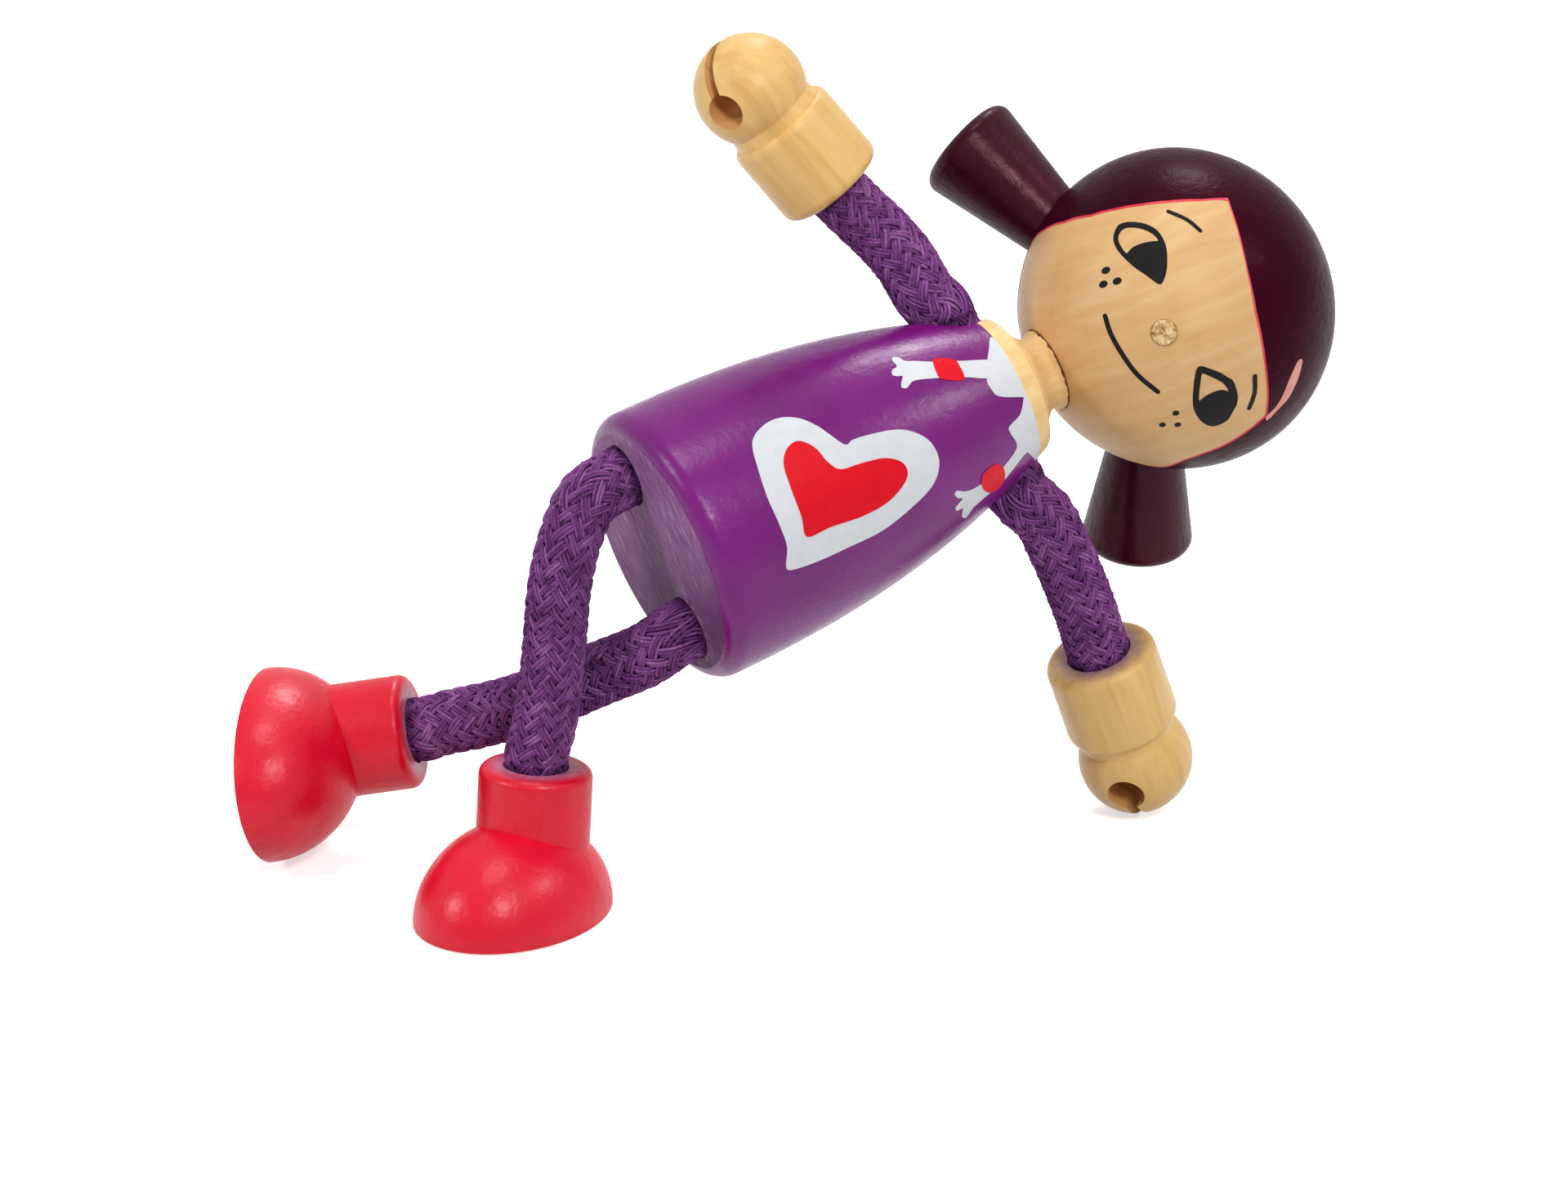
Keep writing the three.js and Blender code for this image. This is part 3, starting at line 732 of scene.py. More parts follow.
def patch(outlines, surface, lift, thick):
    """A thin printed shape: 2-D outlines in millimetres laid on a surface.
    surface takes a 2-D point and a lift, and gives the point in the piece's frame."""
    points, edges = [], []
    for outline in outlines:
        start, count = len(points), len(outline)
        points += [tuple(p) for p in outline]
        edges += [(start + i, start + (i + 1) % count) for i in range(count)]
    flat = np.array(points)
    limits = zip(flat.min(axis=0), flat.max(axis=0))
    columns, rows = (np.arange(low, high, PRINT_SPACING) for low, high in limits)
    grid = np.array([(x, y) for x in columns for y in rows])
    points += [tuple(p) for p in grid[inside(grid, outlines)]]
    result = delaunay_2d_cdt([Vector(p) for p in points], edges, [], 0, 1e-5)
    flat = np.array([tuple(v) for v in result[0]])
    middle = np.array([flat[list(f)].mean(axis=0) for f in result[2]])
    faces = [tuple(f) for f, kept in zip(result[2], inside(middle, outlines)) if kept]
    used = sorted({i for f in faces for i in f})
    index = {old: new for new, old in enumerate(used)}
    faces = [tuple(index[i] for i in f) for f in faces]
    top = np.array([surface(flat[i], lift + thick) for i in used])
    bottom = np.array([surface(flat[i], lift) for i in used])
    a, b, c = top[list(faces[0])]
    if np.dot(np.cross(b - a, c - a), a) < 0:
        faces = [f[::-1] for f in faces]
    count = len(used)
    border = {(f[i], f[(i + 1) % 3]): True for f in faces for i in range(3)}
    walls = [(j, i, i + count, j + count) for i, j in border if (j, i) not in border]
    return np.vstack([top, bottom]), faces + walls


def head_surface(middle_longitude, middle_latitude):
    """Lays a flat drawing on the head, true to size at its middle: x towards the doll's left, y up."""
    middle = on_head(middle_longitude, middle_latitude, 1)
    left = unit(np.cross((0, 0, 1), middle))
    up = np.cross(middle, left)

    def surface(point, lift):
        x, y = point
        distance = math.hypot(x, y)
        angle = distance / HEAD_RADIUS
        if distance < TINY:
            return flattened(middle * (HEAD_RADIUS + lift))
        direction = (left * x + up * y) / distance
        return flattened((middle * math.cos(angle) + direction * math.sin(angle)) * (HEAD_RADIUS + lift))

    def flatten(longitude, latitude):
        v = on_head(longitude, latitude, 1)
        angle = math.acos(max(-1, min(1, v.dot(middle))))
        direction = np.array([v.dot(left), v.dot(up)])
        length = np.linalg.norm(direction)
        return direction / length * angle * HEAD_RADIUS if length > TINY else np.zeros(2)

    return surface, flatten


# Drawings on the head, as longitude and latitude in degrees
PRINT_SPACING = 0.3
FACE_PRINT_THICKNESS = 0.012
FACE_MIDDLE = (0, -15)
RIGHT_EYE = [
    (-45.5, -26.1), (-48.3, -22.6), (-47.8, -20.1), (-45.0, -17.0), (-40.6, -13.9), (-35.5, -12.4),
    (-29.6, -13.1), (-24.2, -15.6), (-20.4, -18.2), (-18.1, -20.7), (-18.2, -22.0), (-20.5, -23.1),
    (-24.0, -24.4), (-29.2, -26.3), (-35.5, -27.5), (-41.0, -27.6),
]
RIGHT_OPEN = [
    (-43.7, -25.4), (-45.6, -23.2), (-45.6, -20.8), (-43.0, -17.9), (-39.6, -15.6), (-35.9, -14.1),
    (-32.8, -14.1), (-34.0, -16.5), (-35.6, -20.0), (-36.3, -23.4), (-35.9, -26.0), (-39.6, -26.3),
]
LEFT_EYE = [
    (26.2, -24.1), (22.0, -22.9), (18.4, -21.2), (17.9, -19.5), (20.0, -16.8), (22.8, -13.7), (25.5, -11.6),
    (28.1, -9.8), (34.2, -9.3), (38.0, -10.0), (40.7, -11.5), (44.9, -14.2), (46.4, -19.0), (43.0, -22.9),
    (36.6, -25.2), (31.0, -25.1),
]
LEFT_OPEN = [
    (20.6, -20.0), (22.4, -17.6), (24.6, -15.4), (27.4, -13.2), (31.4, -12.0), (30.0, -14.6), (30.0, -17.6),
    (30.9, -20.6), (32.4, -23.2), (28.0, -22.6), (24.0, -21.4),
]
BROWS = {
    "right": [(-41.3, -4.9), (-34.7, -1.1), (-28.6, 0.8)],
    "left": [(29.3, -1.5), (36.1, -2.7), (42.2, -5.3)],
}
BROW_WIDTHS = {"right": 0.2, "left": 0.25}
EYE_LINE_GROWTH = 0.05
FRECKLES = [(-36.1, -35.6), (-28.7, -34.4), (-31.8, -39.3), (37.0, -32.0), (43.9, -37.2), (43.7, -31.7)]
FRECKLE_SIDES = 24
FRECKLE_SIZES = [(0.17, 0.23)] * 3 + [(0.14, 0.17)] * 3
SMILE_WIDTH = 0.24
SMILE = [(-18.5, -45.1), (-9.3, -46.3), (2.2, -45.5), (14.5, -42.7), (24.9, -37.0)]
LOCK_MIDDLE = (42, 11)
LOCK_LIFT = 0.03
LOCK = [
    (33.6, 19.9), (35.0, 20.6), (37.5, 19.4), (41.2, 17.3), (44.6, 14.5), (47.4, 11.9), (49.0, 9.0),
    (50.6, 6.0), (52.3, 3.4), (52.9, 1.6), (50.8, 1.2), (50.0, 1.7), (48.2, 5.1), (45.7, 7.7), (42.5, 10.1),
    (38.9, 12.5), (35.7, 15.4), (33.6, 18.1),
]
HAIR_EDGE = [
    (-180, -64), (-140, -60), (-128, -54), (-118, -44), (-110.3, -38.9), (-92.2, -37.2), (-76.3, -33.1),
    (-63.7, -26.1), (-56.6, -18.7), (-50.6, -10.7), (-45.3, -1.9), (-40.3, 8.8), (-37.6, 18.9),
    (-25.4, 15.3), (-8.9, 10.2), (6.8, 6.5), (25.1, 4.2), (39.3, 3.1), (50.2, 2.0), (53.2, -2.3),
    (58.7, -10.5), (66.1, -21.7), (72.0, -26.6), (78.7, -28.8), (92.1, -30.5), (108, -36), (120, -46),
    (130, -55), (145, -61), (180, -64),
]
HAIR_RIM = 0.1
HAIR_LIFT = 0.012
HAIR_THICKNESS = 0.02
HAIR_RIM_THICKNESS = 0.014
HAIR_ROWS = 44
HAIR_COLUMN = 1.5
# Which corners of the hair's edge are the fringe's two ends
FRINGE_CORNERS = (12, 18)
NAPE_LONGITUDE = 130
HEAD_STEPS = 90
NOSE_STEPS = 4
NOSE_EDGE = 0.12
NOSE_RISE = 0.15
NOSE_DEPTH = 2.2
NOSE_HOLE_DEPTH = 2.3
NOSE_HOLE_GAP = 0.02
NOSE_CUT_REACH = 2


def hair_line(longitudes, grow):
    """Latitude of the hair's edge at each longitude, with the edge moved out by grow, in millimetres."""
    edge = np.array(HAIR_EDGE, float)
    shift = math.degrees(grow / HEAD_RADIUS)
    fringe_middle = edge[list(FRINGE_CORNERS), 0].mean()
    right = (edge[:, 0] > -NAPE_LONGITUDE) & (edge[:, 0] < fringe_middle)
    left = (edge[:, 0] > fringe_middle) & (edge[:, 0] < NAPE_LONGITUDE)
    edge[:, 0] += shift * right - shift * left
    return np.interp(longitudes, edge[:, 0], edge[:, 1]) - shift


def add_hair(name, look, grow, lift, thick):
    """Paint from the crown down to the hair line, as a thin shell."""
    corners = [longitude for longitude, _ in HAIR_EDGE[:-1]]
    longitudes = sorted(set(np.round(np.concatenate([np.arange(-180, 180, HAIR_COLUMN), corners]), 3)))
    low = hair_line(longitudes, grow)
    vertices = []
    for radius in (HEAD_RADIUS + lift + thick, HEAD_RADIUS + lift):
        for row in range(HAIR_ROWS):
            latitudes = low + (90 - low) * (row / HAIR_ROWS)
            vertices += [flattened(on_head(*place, radius)) for place in zip(longitudes, latitudes)]
        vertices.append(flattened(on_head(0, 90, radius)))
    columns = len(longitudes)
    half = len(vertices) // 2
    faces = bands([*numbered_rings(HAIR_ROWS, columns), [half - 1]])
    for column in range(columns):
        after = (column + 1) % columns
        faces.append((after, column, column + half, after + half))
    add_piece(name, (vertices, faces), HEAD, [look], "torso", "hair_paint")


def head_arc(start, grow, steps):
    """Outline of the head from one latitude to the crown, grown by a distance."""
    radius = HEAD_RADIUS + grow
    flatten = (HEAD_CROWN_HEIGHT + grow) / radius
    points = [(x, z * flatten if z > 0 else z) for x, z in arc(0, 0, radius, start, 90, steps)]
    points[-1] = (0, points[-1][1])
    return points


def make_head():
    chin = -math.degrees(math.asin(HEAD_FLAT_DEPTH / HEAD_RADIUS))
    nose = on_head(0, NOSE_LATITUDE, 1)
    nose_frame = stand(nose * HEAD_RADIUS, nose, (0, 1, 0))
    hole = rod(NOSE_RADIUS + NOSE_HOLE_GAP, -NOSE_HOLE_DEPTH, NOSE_CUT_REACH, nose_frame)
    shape = combined(lathe([(0, -HEAD_FLAT_DEPTH), *head_arc(chin, 0, HEAD_STEPS)], FINE_SIDES), [hole])
    middle = centres(shape)
    from_axis = middle - nose * (middle @ nose)[:, None]
    in_hole = (np.linalg.norm(from_axis, axis=1) < NOSE_RADIUS + NOSE_HOLE_GAP / 2) & (middle @ nose > 0)
    add_piece("turned_head", shape, HEAD, ["maple", "end_hole"], "torso", "head_wood", "head",
              which=in_hole, sharp=TURNED_SHARP)

    end = arc(NOSE_RADIUS - NOSE_EDGE, 0, NOSE_EDGE, 0, 90, NOSE_STEPS)
    plug = lathe([(0, -NOSE_DEPTH), (NOSE_RADIUS, -NOSE_DEPTH), *end, (0, NOSE_RISE)], DOWEL_SIDES)
    add_piece("nose_dowel", plug, HEAD @ nose_frame, ["nose"], "torso", "peg_wood", "nose_peg",
              sharp=DOWEL_SHARP)
    add_hair("painted_hair", "hair", 0, HAIR_LIFT, HAIR_THICKNESS)
    add_hair("hair_line", "hair_rim", HAIR_RIM, 0, HAIR_RIM_THICKNESS)


def make_face():
    surface, flatten = head_surface(*FACE_MIDDLE)
    drawings = {}
    for word, eye, opening in (("right", RIGHT_EYE, RIGHT_OPEN), ("left", LEFT_EYE, LEFT_OPEN)):
        outer = grown(closed_spline([flatten(*p) for p in eye]), EYE_LINE_GROWTH / 2)
        inner = grown(closed_spline([flatten(*p) for p in opening], 5), -EYE_LINE_GROWTH / 2)
        drawings[f"{word}_eye"] = [outer, inner]
        drawings[f"{word}_brow"] = [brushed([flatten(*p) for p in BROWS[word]], BROW_WIDTHS[word])]
    drawings["smile"] = [brushed([flatten(*p) for p in SMILE], SMILE_WIDTH)]
    turns = np.linspace(0, 2 * math.pi, FRECKLE_SIDES, endpoint=False)
    ring = np.array([(math.cos(t), math.sin(t)) for t in turns])
    for number, (freckle, size) in enumerate(zip(FRECKLES, FRECKLE_SIZES), 1):
        drawings[f"freckle_{number}"] = [flatten(*freckle) + ring * size]
    for name, outlines in drawings.items():
        shape = patch(outlines, surface, 0, FACE_PRINT_THICKNESS)
        add_piece(f"printed_{name}", shape, HEAD, ["ink"], "torso", "head_wood")
    surface, flatten = head_surface(*LOCK_MIDDLE)
    shape = patch([closed_spline([flatten(*p) for p in LOCK])], surface, LOCK_LIFT, FACE_PRINT_THICKNESS)
    add_piece("stray_lock", shape, HEAD, ["lock"], "torso", "hair_paint")


# Prints on the torso, as degrees round it and heights in millimetres
HEART = [
    (-14.4, 8.15), (-26.1, 7.46), (-32.9, 6.86), (-36.5, 6.06), (-35.9, 5.16), (-31.0, 4.29), (-19.9, 3.86),
    (-7.5, 3.62), (3.9, 3.63), (13.9, 3.62), (21.5, 3.30), (24.3, 3.53), (26.2, 4.89), (27.2, 6.65),
    (28.1, 8.45), (25.4, 10.20), (20.9, 11.57), (12.3, 12.25), (1.8, 12.21), (-6.1, 11.65), (-11.0, 10.81),
    (-13.7, 9.53), (-14.6, 8.65),
]
RED_HEART = [
    (-23.5, 6.25), (-22.4, 5.57), (-16.7, 5.04), (-5.7, 4.83), (5.6, 4.77), (14.0, 4.70), (14.8, 5.97),
    (17.1, 7.68), (16.8, 9.15), (12.4, 10.25), (7.4, 10.55), (2.3, 10.32), (-1.8, 9.61), (-4.0, 8.45),
    (-5.4, 7.45), (-10.4, 7.03), (-18.2, 6.79),
]
COLLAR = [
    (-47.9, 17.89), (-36.9, 17.32), (-29.2, 16.91), (-18.4, 16.40), (-14.5, 16.26), (-9.9, 16.30),
    (-5.5, 16.40), (-1.8, 16.81), (3.8, 17.68), (6.4, 17.64), (11.7, 17.37), (14.4, 17.08), (16.5, 16.44),
    (20.3, 16.40), (29.4, 16.62), (33.8, 16.62), (44.7, 17.22), (60, 17.7), (72, 18.0), (55.9, 18.1),
    (38.9, 18.05), (19.7, 18.0), (2.5, 17.95), (-12.6, 17.95), (-31.6, 17.95),
]
RIGHT_TIE = [
    (-27, 17.2), (-32.9, 15.74), (-37.1, 14.47), (-41.3, 13.56), (-43.0, 13.14), (-46.1, 13.01),
    (-47.5, 12.79), (-45.9, 12.62), (-42.1, 12.63), (-40.6, 12.55), (-39.7, 12.28), (-37.2, 12.14),
    (-35.5, 12.29), (-34.5, 12.54), (-31.3, 12.29), (-28.8, 12.17), (-27.7, 12.38), (-28.9, 12.62),
    (-30.1, 12.96), (-27.8, 13.89), (-23.0, 15.27), (-16.5, 16.7),
]
LEFT_TIE = [
    (31.5, 16.9), (35.8, 16.31), (39.4, 15.57), (42.7, 15.08), (38.5, 14.19), (37.5, 13.69), (35.3, 13.21),
    (31.6, 12.77), (33.0, 12.61), (36.4, 12.79), (38.3, 13.03), (39.9, 12.76), (41.1, 12.56), (43.6, 12.62),
    (45.1, 12.98), (50.4, 12.92), (54.5, 13.14), (53.6, 13.38), (51.2, 13.63), (50.6, 14.07), (50.4, 14.54),
    (50.8, 15.18), (50.0, 15.70), (46.6, 16.39), (44.1, 16.90), (43.0, 17.3),
]
RIGHT_BEAD = [
    (-36.6, 14.30), (-39.1, 14.48), (-37.9, 14.93), (-34.8, 15.39), (-29.7, 15.41), (-24.2, 15.36),
    (-21.4, 15.19), (-23.2, 14.64), (-26.5, 14.18), (-30.2, 14.16),
]
LEFT_BEAD = [
    (32.6, 15.19), (37.6, 15.55), (43.6, 15.67), (50.5, 15.60), (53.5, 15.26), (49.3, 14.65), (42.0, 14.26),
    (34.9, 14.25), (32.1, 14.58),
]
TURN_SCALE = 0.09
TORSO_PRINT_THICKNESS = 0.016
OVERPRINT_LIFT = 0.018
TIE_LIFT = 0.004


def torso_surface(point, lift):
    turn = math.radians(point[0] / TURN_SCALE)
    radius = torso_radius(point[1]) + lift
    return np.array([radius * math.cos(turn), radius * math.sin(turn), point[1]])


def make_torso_prints():
    # Name, outline, look, lift and curve steps
    layers = [
        ("white_heart", HEART, "white", 0, 5),
        ("red_heart", RED_HEART, "scarlet", OVERPRINT_LIFT, 5),
        ("white_collar", COLLAR, "white", 0, 4),
        ("right_tie", RIGHT_TIE, "white", TIE_LIFT, 4),
        ("left_tie", LEFT_TIE, "white", TIE_LIFT, 4),
        ("right_tie_bead", RIGHT_BEAD, "scarlet", TIE_LIFT + OVERPRINT_LIFT, 4),
        ("left_tie_bead", LEFT_BEAD, "scarlet", TIE_LIFT + OVERPRINT_LIFT, 4),
    ]
    for name, outline, look, lift, steps in layers:
        flat = closed_spline([(angle * TURN_SCALE, height) for angle, height in outline], steps)
        shape = patch([flat], torso_surface, lift, TORSO_PRINT_THICKNESS)
        add_piece(f"printed_{name}", shape, TORSO, [look], "torso", "torso_paint")


# Pigtails
PIGTAIL_NARROW = 1.6
PIGTAIL_WIDE = 2.5
PIGTAIL_LENGTH = 5.33
PIGTAIL_EDGE = 0.55
PIGTAIL_SINK = 0.6
PIGTAIL_GLUE_GAP = 0.04
SEAT_STEPS = 60
# Latitude on the head, and degrees back from straight to the side
PIGTAIL_SEATS = {"right": (-25, 28), "left": (-20.5, 37.2)}
PIGTAIL_AXES = {"right": (-17, 25), "left": (-13.2, 34.3)}


def head_direction(latitude, back, side):
    lat, turn = math.radians(latitude), math.radians(back)
    level = math.cos(lat)
    return np.array([-level * math.sin(turn), side * level * math.cos(turn), math.sin(lat)])


def make_pigtails():
    lean = math.degrees(math.atan2(PIGTAIL_WIDE - PIGTAIL_NARROW, PIGTAIL_LENGTH))
    rim, top = PIGTAIL_WIDE - PIGTAIL_EDGE, PIGTAIL_LENGTH - PIGTAIL_EDGE
    profile = [(0, -PIGTAIL_SINK), (PIGTAIL_NARROW, -PIGTAIL_SINK)]
    profile += [*arc(rim, top, PIGTAIL_EDGE, -lean, 90, ROUND_STEPS), (0, PIGTAIL_LENGTH)]
    cone = lathe(profile, CONE_SIDES)
    ball = head_arc(-90, PIGTAIL_GLUE_GAP, SEAT_STEPS)
    ball[0] = (0, ball[0][1])
    ball = lathe(ball, CONE_SIDES)
    for word, side in SIDES.items():
        seat = head_direction(*PIGTAIL_SEATS[word], side) * HEAD_RADIUS
        pose = stand(seat, head_direction(*PIGTAIL_AXES[word], side), (0, 0, 1))
        shape = combined(cone, [placed(np.linalg.inv(pose), ball)])
        add_piece(f"{word}_pigtail_cone", shape, HEAD @ pose, ["pigtail"], "torso", "hair_paint",
                  f"{word}_pigtail", sharp=CARVED_SHARP)


# Hands
HAND_COLLAR_RADIUS = 2.58
HAND_COLLAR_LENGTH = 4.1
HAND_EDGE = 0.5
HAND_SHOULDER = 0.45
HAND_GROOVE_RADIUS = 2.2
HAND_BALL_RADIUS = 2.6
HAND_BALL_REACH = 6
CLIP_RADIUS = 0.85
CLIP_OFFSET = 0.37
CLIP_SLIT = 0.55
CLIP_REACH = 5
HAND_WAIST_DROP = 0.06
HAND_COLLAR_RING = 0.6
HAND_SHOULDER_STEPS = 6
HAND_BALL_STEPS = 30


def make_hands():
    profile = [(0, 0), *arc(HAND_COLLAR_RADIUS - HAND_EDGE, HAND_EDGE, HAND_EDGE, -90, 0, EDGE_STEPS)]
    top = HAND_COLLAR_LENGTH - HAND_SHOULDER
    drop = HAND_COLLAR_RADIUS - HAND_GROOVE_RADIUS - HAND_WAIST_DROP
    profile.append((HAND_COLLAR_RADIUS, top * HAND_COLLAR_RING))
    for step in range(HAND_SHOULDER_STEPS + 1):
        turn = math.pi / 2 * step / HAND_SHOULDER_STEPS
        radius = HAND_COLLAR_RADIUS - drop * (1 - math.cos(turn))
        profile.append((radius, top + HAND_SHOULDER * math.sin(turn)))
    groove = -math.degrees(math.acos(HAND_GROOVE_RADIUS / HAND_BALL_RADIUS))
    ball = arc(0, HAND_BALL_REACH, HAND_BALL_RADIUS, groove, 90, HAND_BALL_STEPS)
    ball[-1] = (0, ball[-1][1])
    clip = HAND_BALL_REACH + CLIP_OFFSET
    cutters = [
        rod(HOLE_RADIUS, -CUT_PAST, HAND_SOCKET_DEPTH),
        rod(CLIP_RADIUS, -CLIP_REACH, CLIP_REACH, stand((0, 0, clip), (1, 0, 0), (0, 0, 1))),
        block((-CLIP_REACH, -CLIP_SLIT / 2, clip), (CLIP_REACH, CLIP_SLIT / 2, clip + CLIP_REACH)),
    ]
    shape = combined(lathe(profile + ball), cutters)
    x, y, z = centres(shape).T
    in_clip = np.hypot(y, z - clip) < CLIP_RADIUS + NEAR_CUT
    in_slit = (np.abs(y) < CLIP_SLIT / 2 + NEAR_CUT) & (z > clip)
    in_socket = (np.hypot(x, y) < HOLE_RADIUS + NEAR_CUT) & (z < HAND_SOCKET_DEPTH + NEAR_CUT)
    for word in SIDES:
        add_piece(f"{word}_turned_hand", shape, HANDS[word], ["honey", "end_hole"], f"{word}_hand",
                  "honey_wood", f"{word}_hand", which=in_clip | in_slit | in_socket, sharp=CARVED_SHARP)


# Boots
SOLE_HALF_LENGTH = 5.47
SOLE_HALF_WIDTH = 4.11
BOOT_DOME_HEIGHT = 4.2
BOOT_LEG_RADIUS = 2.6
BOOT_EDGE = 0.45
BOOT_ROWS = 48


def make_boots():
    half = arc(0, 0, 1, 0, 90, BOOT_ROWS)
    half[-1] = (0, 1)
    points, faces = lathe([(0, 0), *half], FINE_SIDES)
    dome = points * (SOLE_HALF_LENGTH, SOLE_HALF_WIDTH, BOOT_DOME_HEIGHT), faces
    top = arc(BOOT_LEG_RADIUS - BOOT_EDGE, BOOT_LEG_TOP - BOOT_EDGE, BOOT_EDGE, 0, 90, ROUND_STEPS)
    leg = lathe([(0, BOOT_EDGE), (BOOT_LEG_RADIUS, BOOT_EDGE), *top, (0, BOOT_LEG_TOP)])
    socket = rod(HOLE_RADIUS, BOOT_LEG_TOP - BOOT_SOCKET_DEPTH, BOOT_LEG_TOP + CUT_PAST, BOOT_LEG)
    shape = combined(combined(dome, [placed(BOOT_LEG, leg)], "UNION"), [socket])
    for word in SIDES:
        add_piece(f"{word}_painted_boot", shape, BOOTS[word], ["red"], f"{word}_boot", "boot_paint",
                  f"{word}_boot", sharp=TURNED_SHARP)


# Cords
CARRIERS = 14
YARNS_PER_CARRIER = 3
YARN_HALF_WIDTH = 0.073
YARN_HALF_DEPTH = 0.076
YARN_SWELL = 0.12
YARN_SIDES = 5
YARN_STEP = 0.084
YARN_SWAY = 0.012
YARN_WAVES = 4.7
YARN_WANDER = 6.3
CROSSING_SHARPNESS = 2
BRAID_RADIUS = 1.29
BRAID_LIFT = 0.08
STRAND_CROWN = 0.025
BRAID_SLANT = math.radians(37.5)
GLUE_SOAK = 0.3
CORE_RADIUS = 1.2
CORE_SIDES = 20
CORE_TONE = 0.5
WIRE_SIDES = 16
PIPE_STEP = 0.25
ROUTE_STEPS = 60
STRETCH_GAP = 0.06
FIBRES_PER_MM = 24
FIBRE_LENGTHS = (0.15, 0.5)
FIBRE_RISES = (0.02, 0.14)
FIBRE_THICKNESS = 0.011
FIBRE_ROOT = 0.03
FIBRE_BOW = 0.07
FIBRE_BOW_SHARE = 0.45
FIBRE_TONE = 0.8


class Route:
    """Centripetal Catmull-Rom curve through points, measured by length, with a frame that doesn't twist."""

    def __init__(self, points, zero_point, far_point=None):
        p = with_ends(points)
        dense = []
        for a, b, c, d in zip(p, p[1:], p[2:], p[3:]):
            ta, tb, tc = (np.linalg.norm(step) ** 0.5 for step in (b - a, c - b, d - c))
            start = ((b - a) / ta - (c - a) / (ta + tb) + (c - b) / tb) * tb
            stop = ((c - b) / tb - (d - b) / (tb + tc) + (d - c) / tc) * tb
            for k in range(ROUTE_STEPS):
                t = k / ROUTE_STEPS
                dense.append(b + start * t + (-3 * b + 3 * c - 2 * start - stop) * t * t
                             + (2 * b - 2 * c + start + stop) * t**3)
        dense.append(p[-2])
        self.points = np.array(dense)
        steps = np.linalg.norm(np.diff(self.points, axis=0), axis=1)
        self.lengths = np.concatenate([[0], np.cumsum(steps)])
        tangents = np.gradient(self.points, self.lengths, axis=0)
        self.tangents = tangents / np.linalg.norm(tangents, axis=1)[:, None]
        normals = [unit(np.cross(self.tangents[0], (0.3, 0.5, 0.8)))]
        for tangent in self.tangents[1:]:
            normals.append(unit(normals[-1] - tangent * normals[-1].dot(tangent)))
        self.normals = np.array(normals)
        self.zero = self.nearest(zero_point)
        self.mouths = [] if far_point is None else [self.zero, self.nearest(far_point)]
        self.end = self.lengths[-1]

    def nearest(self, point):
        return self.lengths[np.argmin(np.linalg.norm(self.points - point, axis=1))]

    def at(self, distance):
        """Places, tangents and normals at distances from the start."""
        out = []
        for values in (self.points, self.tangents, self.normals):
            columns = [np.interp(distance, self.lengths, values[:, k]) for k in range(3)]
            out.append(np.stack(columns, axis=1))
        place, tangent, normal = out
        tangent /= np.linalg.norm(tangent, axis=1)[:, None]
        normal -= tangent * np.sum(normal * tangent, axis=1)[:, None]
        normal /= np.linalg.norm(normal, axis=1)[:, None]
        return place, tangent, normal


def tube_faces(count, sides, start=0):
    rings = numbered_rings(count, sides, start)
    return [*bands(rings), tuple(rings[0])[::-1], tuple(rings[-1])]


def braid(route, start, stop, seed):
    """Yarns of a two-over-two braid between two distances along a route, several side by side in each
    strand. Each yarn has a tone of its own, darker where glue has soaked in."""
    count = max(4, int(round((stop - start) / YARN_STEP)) + 1)
    distance = np.linspace(start, stop, count)
    place, tangent, normal = route.at(distance)
    other = np.cross(tangent, normal)
    twist = math.tan(BRAID_SLANT) / BRAID_RADIUS
    crossings = twist * CARRIERS / math.pi
    tones = random.Random(seed)
    soaked = np.zeros(count)
    for mouth in route.mouths:
        soaked += np.exp(-(((distance - mouth) / GLUE_SOAK) ** 2))
    vertices, faces, tone = [], [], []
    for way in (1, -1):
        for carrier in range(CARRIERS):
            for yarn in range(YARNS_PER_CARRIER):
                value = tones.random()
                wander = tones.random() * YARN_WANDER
                from_middle = yarn - (YARNS_PER_CARRIER - 1) / 2
                offset = from_middle * 2 * YARN_HALF_WIDTH / (BRAID_RADIUS * math.cos(BRAID_SLANT))
                sway = YARN_SWAY * np.sin(YARN_WAVES * distance + wander)
                angle = 2 * math.pi * carrier / CARRIERS + way * (twist * distance + offset) + sway
                phase = 2 * math.pi / 4 * (2 * carrier + way * crossings * distance - 0.5)
                over = np.tanh(CROSSING_SHARPNESS * np.cos(phase))
                over = over / math.tanh(CROSSING_SHARPNESS) * way
                swell = 1 + YARN_SWELL * over
                radius = BRAID_RADIUS + BRAID_LIFT * over + sway + STRAND_CROWN * (1 - abs(from_middle))
                out = normal * np.cos(angle)[:, None] + other * np.sin(angle)[:, None]
                around = np.cross(tangent, out)
                path = place + out * radius[:, None]
                along = tangent + around * (way * twist * radius)[:, None]
                along /= np.linalg.norm(along, axis=1)[:, None]
                across = np.cross(along, out)
                ring = []
                for side in range(YARN_SIDES):
                    turn = 2 * math.pi * side / YARN_SIDES + math.pi / 2
                    ring.append(path + across * (swell * YARN_HALF_WIDTH * math.cos(turn))[:, None]
                                + out * (swell * YARN_HALF_DEPTH * math.sin(turn))[:, None])
                faces += tube_faces(count, YARN_SIDES, len(vertices) * count * YARN_SIDES)
                vertices.append(np.stack(ring, axis=1).reshape(-1, 3))
                tone.append(np.repeat(value - soaked, YARN_SIDES))
    return np.vstack(vertices), faces, np.concatenate(tone)


